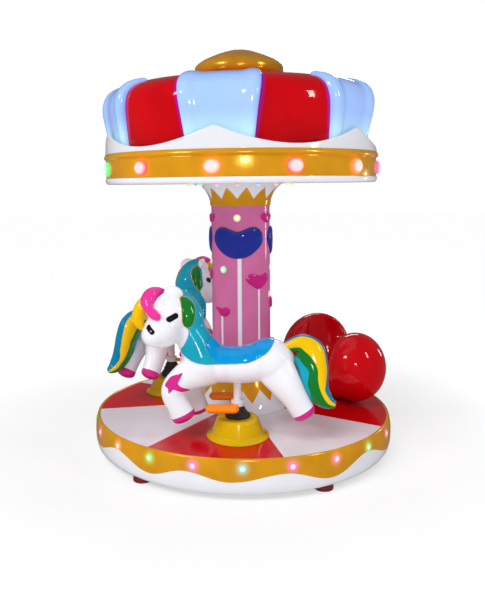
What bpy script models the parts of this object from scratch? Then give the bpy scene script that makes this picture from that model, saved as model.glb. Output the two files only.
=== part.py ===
# Fairground carousel, three places: a small glass-fibre ride with two ponies and a tub seat.
# Metres, +Z up. The turning axis is the world Z axis and the feet stand on z = 0.
# The ride turns clockwise seen from above. The front pony is at the -Y side and heads to -X.
import bpy
import bmesh
from math import cos, hypot, pi, radians, sin
from mathutils import Matrix, Vector

# Driving dimensions
GAP = 0.0004                # clearance between neighbouring solids
DECK_Z = 0.180              # top of the floor above the ground, at its edge
FLOOR_RISE = 0.018          # the floor is this much higher at the column than at its edge
DECK_R = 0.740              # radius of the floor at its edge
SKIRT_BULGE = 0.009         # how far the skirt bulges past the floor edge
SKIRT_LOW = 0.027           # ground clearance of the skirt
WALL = 0.010                # wall of the glass-fibre mouldings
SPINDLE_R = 0.034
COLUMN_R = 0.149
COLUMN_FOOT_R = 0.235
COLUMN_TOP_Z = 1.3450
TRAY_Z = 1.3615             # top of the canopy tray
BAND_R = 0.6750
BAND_TOP = 1.4790
LAMP_COUNT = 12             # domed lamps round the gold band
LAMP_Z = 1.4050
LAMP_PHASE = radians(-100.0)
CROWN_TOP = 1.8100
LOBE_COUNT = 6
LOBE_PHASE = radians(-98.0)     # one lobe faces the front, a little to its left
LOBE_HALF = radians(13.3)       # half the angle a lobe covers at its foot
LOBE_SPREAD = radians(4.2)      # how much wider it gets towards its top
LOBE_RISE = 0.033               # how far a lobe stands proud of the crown
FASCIA_PHASE = radians(-99.4)
FASCIA_LOW = 1.493
FASCIA_RISE = 0.085
CAP_R = 0.2245
CAP_Z = 1.8520
FOOT_COUNT = 5
FOOT_RING_R = 0.686
RIDE_R = 0.460              # ponies stand on this radius
RIDE_PHASE = radians(-92.5)     # place of the front pony, the others follow by thirds
POLE_R = 0.018
CUP_R = 0.142
CUP_H = 0.095               # top of a cup above the floor's edge
BOOT_TOP = 0.145
POLE_LOW = 0.046            # height of the pole's lower end above the floor
REAR_RAISED = 0.028         # the rear pony stands higher on its stroke than the front one
HEART_COUNT = 3
HEART_PHASE = radians(-95.5)


# Scene start
for old in list(bpy.data.objects):
    bpy.data.objects.remove(old, do_unlink=True)
for old in list(bpy.data.meshes):
    bpy.data.meshes.remove(old)
for old in list(bpy.data.materials):
    bpy.data.materials.remove(old)


# Materials
def material(name, colour, rough, metal=0.0, glow=None):
    mat = bpy.data.materials.new(name)
    mat.use_nodes = True
    bsdf = mat.node_tree.nodes["Principled BSDF"]
    bsdf.inputs["Base Color"].default_value = (*colour, 1.0)
    bsdf.inputs["Roughness"].default_value = rough
    bsdf.inputs["Metallic"].default_value = metal
    if glow:
        bsdf.inputs["Emission Color"].default_value = (*glow, 1.0)
        bsdf.inputs["Emission Strength"].default_value = 1.0
    mat.diffuse_color = (*colour, 1.0)
    return mat


# Mesh helpers
def finish(name, bm, mat):
    bmesh.ops.recalc_face_normals(bm, faces=bm.faces[:])
    mesh = bpy.data.meshes.new(name)
    bm.to_mesh(mesh)
    bm.free()
    mesh.materials.append(material(name, *mat))
    obj = bpy.data.objects.new(name, mesh)
    bpy.context.scene.collection.objects.link(obj)
    return obj


def turned(profile, segments, phase=0.0):
    """A closed body turned about Z from a closed outline of (radius, height)."""
    bm = bmesh.new()
    rings = []
    for radius, height in profile:
        if radius < 1e-6:
            rings.append([bm.verts.new((0.0, 0.0, height))])
            continue
        ring = []
        for i in range(segments):
            angle = phase + 2 * pi * i / segments
            ring.append(bm.verts.new((radius * cos(angle), radius * sin(angle), height)))
        rings.append(ring)
    for a, b in zip(rings, rings[1:] + rings[:1]):
        for i in range(segments):
            j = (i + 1) % segments
            if len(a) == 1 and len(b) == 1:
                continue
            if len(a) == 1:
                bm.faces.new((a[0], b[i], b[j]))
            elif len(b) == 1:
                bm.faces.new((a[i], a[j], b[0]))
            else:
                bm.faces.new((a[i], a[j], b[j], b[i]))
    return bm


def grid_solid(outer, inner):
    """A closed body between two point grids of the same size."""
    bm = bmesh.new()
    top = [[bm.verts.new(p) for p in row] for row in outer]
    low = [[bm.verts.new(p) for p in row] for row in inner]
    rows = len(top)
    cols = len(top[0])
    for i in range(rows - 1):
        for j in range(cols - 1):
            bm.faces.new((top[i][j], top[i + 1][j], top[i + 1][j + 1], top[i][j + 1]))
            bm.faces.new((low[i][j], low[i][j + 1], low[i + 1][j + 1], low[i + 1][j]))
    edge = [(i, 0) for i in range(rows)]
    edge += [(rows - 1, j) for j in range(1, cols)]
    edge += [(i, cols - 1) for i in range(rows - 2, -1, -1)]
    edge += [(0, j) for j in range(cols - 2, 0, -1)]
    for (a, b), (c, d) in zip(edge, edge[1:] + edge[:1]):
        bm.faces.new((top[a][b], low[a][b], low[c][d], top[c][d]))
    return bm


def prism(outline, low, high):
    """A closed body with an outline of (x, y) between two heights."""
    bm = bmesh.new()
    base = [bm.verts.new((x, y, low)) for x, y in outline]
    face = bm.faces.new(base)
    out = bmesh.ops.extrude_face_region(bm, geom=[face])
    raised = [v for v in out["geom"] if isinstance(v, bmesh.types.BMVert)]
    for v in raised:
        v.co.z = high
    return bm


def loft(sections, sides):
    """A closed tube through sections of (centre, side vector, up vector)."""
    bm = bmesh.new()
    rings = []
    for centre, side, up in sections:
        ring = []
        for i in range(sides):
            a = 2 * pi * i / sides
            ring.append(bm.verts.new(Vector(centre) + Vector(side) * cos(a) + Vector(up) * sin(a)))
        rings.append(ring)
    for a, b in zip(rings, rings[1:]):
        for i in range(sides):
            j = (i + 1) % sides
            bm.faces.new((a[i], a[j], b[j], b[i]))
    for ring, near in ((rings[0], rings[1]), (rings[-1], rings[-2])):
        mid = sum((v.co for v in ring), Vector()) / sides
        back = mid - sum((v.co for v in near), Vector()) / sides
        size = max((v.co - mid).length for v in ring)
        tip = bm.verts.new(mid + back.normalized() * size * 0.45)
        for i in range(sides):
            bm.faces.new((ring[i], ring[(i + 1) % sides], tip))
    bmesh.ops.recalc_face_normals(bm, faces=bm.faces[:])
    return bm


def smooth_path(points, steps):
    """Values along a Catmull-Rom curve through the given tuples."""
    out = []
    n = len(points)
    for i in range(n - 1):
        p0 = points[max(i - 1, 0)]
        p1 = points[i]
        p2 = points[i + 1]
        p3 = points[min(i + 2, n - 1)]
        for k in range(steps):
            t = k / steps
            row = []
            for a, b, c, d in zip(p0, p1, p2, p3):
                row.append(0.5 * (2 * b + (c - a) * t + (2 * a - 5 * b + 4 * c - d) * t * t
                                  + (3 * b - a - 3 * c + d) * t * t * t))
            out.append(tuple(row))
    out.append(tuple(points[-1]))
    return out


def tube(points, sides, steps=1):
    """A tube through points of (x, y, z, half width along the plane, half width across Y)."""
    path = smooth_path(points, steps)
    sections = []
    for i, (x, y, z, a, b) in enumerate(path):
        before = Vector(path[max(i - 1, 0)][:3])
        after = Vector(path[min(i + 1, len(path) - 1)][:3])
        along = (after - before).normalized()
        across = Vector((0, 1, 0))
        across = (across - along * across.dot(along)).normalized()
        up = along.cross(across).normalized()
        sections.append(((x, y, z), up * a, across * b))
    return loft(sections, sides)


def ball(bm, centre, size, turn=(0.0, 0.0, 0.0), rings=10, sides=16):
    """Adds an ellipsoid to a mesh."""
    place = Matrix.Translation(Vector(centre))
    for angle, axis in zip(turn, "XYZ"):
        place = place @ Matrix.Rotation(radians(angle), 4, axis)
    place = place @ Matrix.Diagonal((*size, 1.0))
    bmesh.ops.create_uvsphere(bm, u_segments=sides, v_segments=rings, radius=1.0, matrix=place)


def add(bm, other):
    """Adds the faces of another mesh to this one."""
    verts = {v: bm.verts.new(v.co) for v in other.verts}
    for f in other.faces:
        bm.faces.new([verts[v] for v in f.verts])
    other.free()


def work_object(name, bm):
    bmesh.ops.recalc_face_normals(bm, faces=bm.faces[:])
    mesh = bpy.data.meshes.new(name)
    bm.to_mesh(mesh)
    bm.free()
    obj = bpy.data.objects.new(name, mesh)
    bpy.context.scene.collection.objects.link(obj)
    return obj


def baked(obj):
    """The mesh of an object after its modifiers, and the object removed."""
    graph = bpy.context.evaluated_depsgraph_get()
    mesh = bpy.data.meshes.new_from_object(obj.evaluated_get(graph))
    bm = bmesh.new()
    bm.from_mesh(mesh)
    bpy.data.meshes.remove(mesh)
    bpy.data.objects.remove(obj, do_unlink=True)
    return bm


def one_skin(bm, cell, faces, soften=3):
    """Melts overlapping bodies into one skin of about the given number of triangles."""
    obj = work_object("melt", bm)
    mod = obj.modifiers.new("voxels", "REMESH")
    mod.mode = "VOXEL"
    mod.voxel_size = cell
    mod.adaptivity = 0.0
    mod = obj.modifiers.new("soften", "SMOOTH")
    mod.factor = 0.5
    mod.iterations = soften
    bm = baked(obj)
    count = sum(len(f.verts) - 2 for f in bm.faces)
    obj = work_object("thin", bm)
    mod = obj.modifiers.new("thin", "DECIMATE")
    mod.ratio = min(1.0, faces / count)
    bm = baked(obj)
    bmesh.ops.triangulate(bm, faces=bm.faces[:])
    return largest(bm)


def largest(bm):
    """Only the body with the most faces stays."""
    left = set(bm.faces)
    best = set()
    while left:
        start = left.pop()
        group = {start}
        todo = [start]
        while todo:
            f = todo.pop()
            for e in f.edges:
                for g in e.link_faces:
                    if g in left:
                        left.remove(g)
                        group.add(g)
                        todo.append(g)
        if len(group) > len(best):
            best = group
    gone = [f for f in bm.faces if f not in best]
    if gone:
        bmesh.ops.delete(bm, geom=gone, context="FACES")
    loose = [v for v in bm.verts if not v.link_faces]
    if loose:
        bmesh.ops.delete(bm, geom=loose, context="VERTS")
    return bm


def grown(bm, by):
    """A copy of a mesh pushed out along its normals."""
    copy = bm.copy()
    copy.normal_update()
    for v, n in [(v, v.normal.copy()) for v in copy.verts]:
        v.co += n * by
    return copy


def round_body(bm):
    """Cutters that leave a narrow gap round a body, also in its creases."""
    return [grown(bm, 0.0008), grown(bm, 0.0003)]


def combined(bm, others, how):
    """The mesh after cutting away or joining the others."""
    obj = work_object("body", bm)
    helpers = []
    for other in others:
        tool = work_object("tool", other)
        tool.hide_render = True
        tool.display_type = "WIRE"
        helpers.append(tool)
        mod = obj.modifiers.new(how, "BOOLEAN")
        mod.operation = how
        mod.solver = "EXACT"
        mod.object = tool
    bm = baked(obj)
    for tool in helpers:
        bpy.data.objects.remove(tool, do_unlink=True)
    bmesh.ops.dissolve_degenerate(bm, dist=0.00005, edges=bm.edges[:])
    bmesh.ops.triangulate(bm, faces=bm.faces[:])
    return largest(bm)


def floor_z(radius):
    """Height of the floor's top at a distance from the turning axis."""
    share = (DECK_R - radius) / (DECK_R - COLUMN_FOOT_R)
    return DECK_Z + FLOOR_RISE * min(1.0, max(0.0, share))


def moved(bm, matrix):
    bmesh.ops.transform(bm, matrix=matrix, verts=bm.verts[:])
    return bm


# Colours
WHITE = ((0.80, 0.80, 0.84), 0.22)
RED = ((0.56, 0.0, 0.004), 0.2)
GOLD = ((0.60, 0.25, 0.012), 0.28, 0.35)
PINK = ((0.60, 0.15, 0.33), 0.22)
BLUE = ((0.014, 0.022, 0.27), 0.18)
ICE = ((0.45, 0.68, 1.0), 0.25, 0.0, (0.30, 0.55, 0.80))
TEAL = ((0.03, 0.39, 0.52), 0.2)
SKY = ((0.005, 0.33, 0.70), 0.2)
HOT_PINK = ((0.83, 0.035, 0.32), 0.2)
YELLOW = ((0.66, 0.41, 0.0), 0.25)
ORANGE = ((1.0, 0.22, 0.0), 0.4)
BLACK = ((0.012, 0.013, 0.012), 0.5)
STEEL = ((0.10, 0.10, 0.11), 0.5, 0.6)
MAROON = ((0.17, 0.004, 0.006), 0.45)
POLE = ((0.75, 0.75, 0.78), 0.25)


# Fixed frame under the floor
def star_outline(count, inner, outer, half, phase):
    points = []
    for i in range(count):
        a = phase + 2 * pi * i / count
        along = Vector((cos(a), sin(a)))
        side = Vector((-sin(a), cos(a)))
        gap = a + pi / count
        for p in (along * outer - side * half, along * outer + side * half):
            points.append((p.x, p.y))
        points.append((inner * cos(gap), inner * sin(gap)))
    return points


FOOT_PHASE = radians(-59.0)
frame = prism(star_outline(FOOT_COUNT, 0.085, FOOT_RING_R + 0.006, 0.030, FOOT_PHASE), 0.045, 0.085)
finish("base_frame", frame, STEEL)
spindle = turned([
    (0.0, 0.085 + GAP), (0.070, 0.085 + GAP), (0.070, 0.097), (SPINDLE_R, 0.097),
    (SPINDLE_R, 0.180), (SPINDLE_R - 0.004, 0.184), (0.0, 0.184),
], 20)
finish("spindle", spindle, STEEL)
for i in range(FOOT_COUNT):
    a = FOOT_PHASE + 2 * pi * i / FOOT_COUNT
    foot = turned([
        (0.0, 0.0), (0.040, 0.0), (0.043, 0.004), (0.043, 0.016), (0.038, 0.021),
        (0.014, 0.023), (0.014, 0.045 - GAP), (0.0, 0.045 - GAP),
    ], 14)
    moved(foot, Matrix.Translation((FOOT_RING_R * cos(a), FOOT_RING_R * sin(a), 0.0)))
    finish(f"foot_{i + 1}", foot, MAROON)

# Floor and skirt in one moulding, with a hub for the spindle
deck = turned([
    (SPINDLE_R + 0.0008, 0.104), (SPINDLE_R + 0.0008, floor_z(0.0)), (COLUMN_FOOT_R, floor_z(0.0)),
    (DECK_R - 0.013, floor_z(DECK_R - 0.013)), (DECK_R - 0.010, DECK_Z + 0.0045), (DECK_R - 0.003, DECK_Z + 0.004),
    (DECK_R + 0.001, DECK_Z - 0.003), (DECK_R + SKIRT_BULGE - 0.003, DECK_Z - 0.020),
    (DECK_R + SKIRT_BULGE, DECK_Z - 0.050), (DECK_R + SKIRT_BULGE, 0.095), (DECK_R + 0.007, 0.068),
    (DECK_R + 0.001, 0.046), (DECK_R - 0.009, 0.032), (DECK_R - 0.016, SKIRT_LOW), (DECK_R - 0.026, SKIRT_LOW),
    (DECK_R - 0.022, 0.036), (DECK_R - 0.012, 0.052), (DECK_R - 0.005, 0.075), (DECK_R - 0.002, 0.110),
    (DECK_R - 0.003, 0.150), (DECK_R - 0.018, DECK_Z - WALL), (COLUMN_FOOT_R, floor_z(0.0) - WALL),
    (0.080, floor_z(0.0) - WALL), (0.070, 0.104),
], 48)
finish("deck", deck, WHITE)

# Column with its flared foot and head
FOOT_Z = floor_z(0.0)
column = turned([
    (0.0, FOOT_Z + GAP), (COLUMN_FOOT_R, FOOT_Z + GAP), (COLUMN_FOOT_R, FOOT_Z + 0.007),
    (0.225, FOOT_Z + 0.012), (0.216, FOOT_Z + 0.022), (0.205, 0.240), (0.190, 0.276), (0.174, 0.318),
    (0.162, 0.345), (COLUMN_R + 0.006, 0.352), (COLUMN_R + 0.006, 0.400), (COLUMN_R, 0.406), (COLUMN_R, 1.218),
    (COLUMN_R + 0.005, 1.223), (0.157, 1.254), (0.170, 1.285), (0.190, 1.312), (0.216, 1.333), (0.240, 1.340),
    (0.240, COLUMN_TOP_Z - GAP), (0.0, COLUMN_TOP_Z - GAP),
], 28)
finish("column", column, PINK)


# Hearts that stand proud of the column
def heart_outline(count):
    points = []
    for i in range(count):
        a = 2 * pi * i / count
        x = 16 * sin(a) ** 3
        y = 13 * cos(a) - 5 * cos(2 * a) - 2 * cos(3 * a) - cos(4 * a)
        soft = 0.55 + 0.10 * cos(a)
        x = x / 17.0 * (1 - soft) + sin(a) * soft
        y = (y + 2.5) / 17.0 * (1 - soft) + 0.92 * cos(a) * soft
        points.append((x, y))
    return points


def column_heart(angle, height, half, tall, thick, count=20):
    bm = bmesh.new()
    rims = []
    for grow, depth in ((1.0, -0.012), (1.0, thick * 0.45), (0.84, thick * 0.92), (0.45, thick)):
        ring = []
        for x, y in heart_outline(count):
            arc = angle + x * half * grow / COLUMN_R
            radius = COLUMN_R + depth
            ring.append(bm.verts.new((radius * cos(arc), radius * sin(arc), height + y * tall * grow)))
        rims.append(ring)
    for a, b in zip(rims, rims[1:]):
        for i in range(count):
            j = (i + 1) % count
            bm.faces.new((a[i], a[j], b[j], b[i]))
    for ring, depth in ((rims[0], -0.020), (rims[-1], thick)):
        radius = COLUMN_R + depth
        mid = bm.verts.new((radius * cos(angle), radius * sin(angle), height))
        for i in range(count):
            bm.faces.new((ring[i], ring[(i + 1) % count], mid))
    return bm


for i in range(HEART_COUNT):
    a = HEART_PHASE + 2 * pi * i / HEART_COUNT
    shaft = turned([(0.0, 0.80), (COLUMN_R + GAP, 0.80), (COLUMN_R + GAP, 1.20), (0.0, 1.20)], 28)
    heart = combined(column_heart(a, 1.041, 0.1400, 0.091, 0.014), [shaft], "DIFFERENCE")
    finish(f"heart_{i + 1}", heart, BLUE)

# Canopy tray, gold band and wavy fascia
tray = turned([
    (0.0, COLUMN_TOP_Z), (0.610, COLUMN_TOP_Z), (0.640, 1.3395), (0.657, 1.3330), (0.668, 1.3335),
    (0.6765, 1.3400), (0.6795, 1.3510), (0.6770, TRAY_Z - GAP), (0.0, TRAY_Z - GAP),
], 48)
finish("canopy_tray", tray, WHITE)
band = turned([
    (0.0, TRAY_Z), (BAND_R, TRAY_Z), (BAND_R, 1.4490), (0.6775, 1.4520), (0.6835, 1.4570),
    (0.6850, 1.4640), (0.6830, 1.4730), (0.6790, BAND_TOP - GAP), (0.0, BAND_TOP - GAP),
], 48)
lamps = []
for i in range(LAMP_COUNT):
    a = LAMP_PHASE + 2 * pi * i / LAMP_COUNT
    lamp = bmesh.new()
    ball(lamp, (0.668, 0.0, LAMP_Z), (0.030, 0.040, 0.0335), (0, 0, 0), 8, 12)
    lamps.append(moved(lamp, Matrix.Rotation(a, 4, "Z")))
finish("canopy_band", combined(band, lamps, "UNION"), GOLD)


def fascia_top(angle):
    swing = abs(sin(LOBE_COUNT * 0.5 * (angle - FASCIA_PHASE)))
    return FASCIA_LOW + FASCIA_RISE * (1.0 - swing ** 0.80)


def fascia():
    bm = bmesh.new()
    count = 72
    rings = []
    for k in range(4):
        ring = []
        for i in range(count):
            a = FASCIA_PHASE + 2 * pi * i / count
            top = fascia_top(a)
            radius, height = ((0.6670, BAND_TOP), (0.6785, BAND_TOP), (0.6760, top), (0.6670, top))[k]
            ring.append(bm.verts.new((radius * cos(a), radius * sin(a), height)))
        rings.append(ring)
    for a, b in zip(rings, rings[1:] + rings[:1]):
        for i in range(count):
            j = (i + 1) % count
            bm.faces.new((a[i], a[j], b[j], b[i]))
    return bm


finish("canopy_fascia", fascia(), WHITE)

# Crown: a red body, six ice-blue lobes and a gold cushion
CROWN_OUT = [
    (0.622, BAND_TOP), (0.631, 1.535), (0.643, 1.608), (0.652, 1.670), (0.653, 1.716),
    (0.640, 1.758), (0.607, 1.789), (0.555, CROWN_TOP),
]


def crown_point(t):
    """Radius, height and outward direction along the crown, t from 0 to 1."""
    s = t * (len(CROWN_OUT) - 1)
    i = min(int(s), len(CROWN_OUT) - 2)
    f = s - i
    (r0, z0), (r1, z1) = CROWN_OUT[i], CROWN_OUT[i + 1]
    before = CROWN_OUT[max(i - (1 if f == 0 else 0), 0)]
    after = CROWN_OUT[min(i + 1, len(CROWN_OUT) - 1)]
    dr = after[0] - before[0]
    dz = after[1] - before[1]
    size = hypot(dr, dz)
    return r0 + (r1 - r0) * f, z0 + (z1 - z0) * f, dz / size, -dr / size


dome = CROWN_OUT + [(0.417, 1.827), (0.232, 1.845), (0.0, CAP_Z - GAP), (0.0, BAND_TOP)]
finish("crown_body", turned(dome, 48, LOBE_PHASE), RED)

LOBE_SWELL = [0.52, 0.70, 0.88, 1.0, 1.0, 0.88, 0.66, 0.46]
LOBE_RISE_ACROSS = [0.55, 1.0, 0.95, 0.42, 0.40, 0.40, 0.42, 0.95, 1.0, 0.55]
LOBE_ACROSS = [-1.0, -0.88, -0.68, -0.52, -0.17, 0.17, 0.52, 0.68, 0.88, 1.0]
for k in range(LOBE_COUNT):
    mid = LOBE_PHASE + 2 * pi * k / LOBE_COUNT
    outer = []
    inner_rows = []
    steps = len(CROWN_OUT) - 1
    for j in range(steps + 1):
        radius, height, nr, nz = crown_point(j / steps)
        width = LOBE_HALF + LOBE_SPREAD * j / steps
        rise = LOBE_RISE * LOBE_SWELL[j]
        row_out = []
        row_in = []
        for u, share in zip(LOBE_ACROSS, LOBE_RISE_ACROSS):
            a = mid + u * width
            r = radius + nr * rise * share
            z = height + nz * rise * share if j else height + GAP
            row_out.append((r * cos(a), r * sin(a), z))
            ri = radius + nr * 0.0016
            zi = height + nz * 0.0016 if j else height + GAP
            row_in.append((ri * cos(a), ri * sin(a), zi))
        outer.append(row_out)
        inner_rows.append(row_in)
    finish(f"crown_lobe_{k + 1}", grid_solid(outer, inner_rows), ICE)

cap = turned([
    (0.0, CAP_Z), (0.160, CAP_Z), (0.198, 1.864), (0.219, 1.882), (CAP_R, 1.903), (0.219, 1.922),
    (0.186, 1.947), (0.136, 1.970), (0.080, 1.991), (0.030, 2.003), (0.0, 2.006),
], 24)
finish("crown_cap", cap, GOLD)


# Place of a ride on the floor, heading clockwise
def ride_place(index):
    angle = RIDE_PHASE - 2 * pi * index / 3
    turn = angle - pi / 2
    return Matrix.Translation((RIDE_R * cos(angle), RIDE_R * sin(angle), DECK_Z)) @ Matrix.Rotation(turn, 4, "Z")


# Cup and rubber boot round each pole
CUP = [
    (0.050, CUP_H), (0.050, CUP_H - 0.008), (0.084, CUP_H - 0.011), (0.093, CUP_H - 0.024),
    (0.110, 0.020), (0.116, 0.0), (CUP_R, 0.0), (CUP_R, 0.005), (0.131, 0.009), (0.119, 0.020),
    (0.101, CUP_H - 0.022), (0.097, CUP_H - 0.008), (0.088, CUP_H),
]
BOOT = [
    (POLE_R + 0.0008, CUP_H + GAP), (0.056, CUP_H + GAP), (0.058, CUP_H + 0.007), (0.052, CUP_H + 0.018),
    (0.041, CUP_H + 0.026), (0.039, CUP_H + 0.034), (0.034, CUP_H + 0.040), (0.031, BOOT_TOP - 0.003),
    (0.027, BOOT_TOP), (POLE_R + 0.0008, BOOT_TOP),
]


def boot_profile(raised):
    """The boot is stretched where its pony stands higher."""
    low = CUP_H + GAP
    stretch = (BOOT_TOP - low + raised) / (BOOT_TOP - low)
    return [(r, low + (z - low) * stretch) for r, z in BOOT]


def seated(bm):
    """Lets the low edge of a body follow the slope of the floor, in world coordinates."""
    for v in bm.verts:
        share = min(1.0, max(0.0, (DECK_Z + 0.070 - v.co.z) / 0.045))
        on_floor = floor_z(hypot(v.co.x, v.co.y)) - DECK_Z + GAP
        v.co.z += share * on_floor
    return bm


# Pony in its own frame: x ahead, y to its left, z up from the floor, pole on the z axis
def leg(points):
    return tube(points, 10, 3)


HEAD = (0.300, 0.014, 0.562)


def head_place(head_turn):
    return (Matrix.Translation(HEAD) @ Matrix.Rotation(radians(head_turn), 4, "Z")
            @ Matrix.Rotation(radians(0.35 * head_turn), 4, "X"))


def pony_body(head_turn):
    bm = bmesh.new()
    ball(bm, (-0.150, 0, 0.352), (0.112, 0.108, 0.100))
    ball(bm, (0.000, 0, 0.331), (0.190, 0.092, 0.080))
    ball(bm, (0.150, 0, 0.338), (0.110, 0.108, 0.104))
    add(bm, tube([(0.140, 0, 0.350, 0.094, 0.090), (0.190, 0, 0.430, 0.078, 0.080),
                  (0.226, 0.003, 0.500, 0.070, 0.074), (0.256, 0.010, 0.560, 0.066, 0.070)], 12, 3))
    head = bmesh.new()
    ball(head, (0.0, 0.0, 0.0), (0.106, 0.098, 0.104))
    ball(head, (0.046, 0.0, -0.060), (0.094, 0.088, 0.082), (0, 18, 0))
    ball(head, (0.088, 0.0, -0.076), (0.066, 0.068, 0.058), (0, 10, 0))
    for side in (-1, 1):
        ball(head, (-0.006, side * 0.062, 0.084), (0.030, 0.024, 0.036), (side * -24, -6, 0), 8, 12)
    add(bm, moved(head, head_place(head_turn)))
    y = 0.068
    add(bm, leg([(0.175, y * 0.75, 0.320, 0.080, 0.054), (0.240, y * 0.9, 0.284, 0.060, 0.052),
                 (0.286, y, 0.238, 0.049, 0.047), (0.291, y, 0.188, 0.043, 0.044),
                 (0.274, y, 0.140, 0.041, 0.043), (0.257, y, 0.106, 0.044, 0.045)]))
    add(bm, leg([(0.172, -y * 0.75, 0.317, 0.080, 0.054), (0.222, -y * 0.9, 0.274, 0.058, 0.052),
                 (0.241, -y, 0.226, 0.049, 0.047), (0.224, -y, 0.180, 0.044, 0.044),
                 (0.196, -y, 0.146, 0.043, 0.045)]))
    for side, shift, lift in ((1, 0.0, 0.0), (-1, 0.026, 0.006)):
        y = side * 0.062
        add(bm, leg([(-0.160, y * 0.7, 0.345, 0.092, 0.050), (-0.212 + shift * 0.4, y, 0.272, 0.074, 0.054),
                     (-0.250 + shift, y * 1.1, 0.216 + lift, 0.060, 0.050),
                     (-0.277 + shift, y * 1.15, 0.172 + lift, 0.055, 0.046),
                     (-0.299 + shift, y * 1.15, 0.136 + lift, 0.053, 0.046)]))
    return one_skin(bm, 0.0085, 1180)


def swayed(bm, sway):
    """Bends the neck and head to the pony's left."""
    for v in bm.verts:
        if v.co.x > 0.02:
            share = min(1.0, max(0.0, (v.co.z - 0.410) / 0.150))
            v.co.y += sway * share * share * (3 - 2 * share)
    return bm


def side_prism(outline, half):
    """A closed body from an outline of (x, z), reaching the same distance to both sides."""
    bm = bmesh.new()
    one = [bm.verts.new((x, -half, z)) for x, z in outline]
    two = [bm.verts.new((x, half, z)) for x, z in outline]
    bm.faces.new(one)
    bm.faces.new(list(reversed(two)))
    for i in range(len(outline)):
        j = (i + 1) % len(outline)
        bm.faces.new((one[i], two[i], two[j], one[j]))
    return bm


# Line between the mane and the saddle, in the pony's x and z
MANE_EDGE = [(0.0760, 0.300), (0.0790, 0.357), (0.0940, 0.400), (0.1135, 0.446), (0.1200, 0.480)]


def pony_mane():
    cape = tube([(0.152, 0.000, 0.290, 0.098, 0.113), (0.158, 0, 0.360, 0.092, 0.109),
                 (0.184, 0, 0.430, 0.080, 0.096), (0.212, 0, 0.490, 0.080, 0.086),
                 (0.238, 0, 0.560, 0.084, 0.079), (0.262, 0, 0.622, 0.062, 0.064),
                 (0.306, 0, 0.668, 0.022, 0.040)], 14, 2)
    cape = one_skin(cape, 0.009, 520, 2)
    throat = bmesh.new()
    ball(throat, (0.345, 0.0, 0.430), (0.130, 0.062, 0.150))
    hem = side_prism([(0.330, 0.20), (0.330, 0.452), (0.245, 0.417), (0.198, 0.388), (0.119, 0.361), (0.0, 0.350),
                      (0.0, 0.20)], 0.20)
    behind = side_prism([(-0.10, 0.300)] + MANE_EDGE + [(-0.10, 0.480)], 0.19)
    return combined(cape, [throat, hem, behind], "DIFFERENCE")


def pony_forelock(head_turn):
    near = tube([(-0.032, 0.000, 0.096, 0.018, 0.034), (0.016, 0, 0.114, 0.024, 0.046),
                 (0.074, 0, 0.104, 0.030, 0.050), (0.108, 0.008, 0.066, 0.028, 0.040),
                 (0.112, 0.030, 0.026, 0.020, 0.028), (0.106, 0.044, -0.002, 0.014, 0.020)], 10, 2)
    far = bmesh.new()
    ball(far, (0.084, -0.054, 0.036), (0.040, 0.030, 0.066), (24, 14, 0), 8, 12)
    both = combined(near, [far], "UNION")
    return moved(both, head_place(head_turn))


def pony_tail():
    return tube([(-0.222, 0, 0.420, 0.022, 0.026), (-0.284, 0.004, 0.430, 0.046, 0.036),
                 (-0.324, 0.012, 0.398, 0.068, 0.044), (-0.336, 0.026, 0.338, 0.070, 0.048),
                 (-0.342, 0.040, 0.280, 0.064, 0.046), (-0.362, 0.052, 0.227, 0.052, 0.040),
                 (-0.396, 0.062, 0.192, 0.036, 0.030), (-0.426, 0.068, 0.178, 0.018, 0.018)], 12, 2)


def pony_saddle(body):
    front = [(x - 0.0010, z) for x, z in reversed(MANE_EDGE[2:])]
    region = side_prism(front + [(0.0765, 0.3535), (0.008, 0.357), (-0.063, 0.366),
                                 (-0.117, 0.394), (-0.152, 0.424), (-0.184, 0.480)], 0.20)
    shell = combined(grown(body, 0.0065), [region], "INTERSECT")
    return combined(shell, round_body(body), "DIFFERENCE")


def footrest():
    bars = []
    low = BOOT_TOP + 0.0010
    for side in (-1, 1):
        y = side * 0.096
        bars.append(tube([(-0.006, y, 0.159, 0.011, 0.016), (0.006, y, 0.159, 0.017, 0.024),
                          (0.066, y, 0.159, 0.018, 0.026), (0.126, y, 0.159, 0.017, 0.024),
                          (0.138, y, 0.159, 0.011, 0.016)], 10))
    rod = prism([(-0.0043, -0.0937), (0.0327, -0.0937), (0.0327, 0.0937), (-0.0043, 0.0937)], low + 0.0046, low + 0.0141)
    collar = turned([(0.0, low), (0.0292, low), (0.0292, low + 0.0273), (0.0, low + 0.0273)], 14, 0.11)
    whole = collar
    for piece in [rod] + bars:
        whole = combined(whole, [piece], "UNION")
    bore = turned([(0.0, 0.05), (POLE_R + GAP, 0.05), (POLE_R + GAP, 0.25), (0.0, 0.25)], 16)
    return combined(whole, [bore], "DIFFERENCE")


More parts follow.
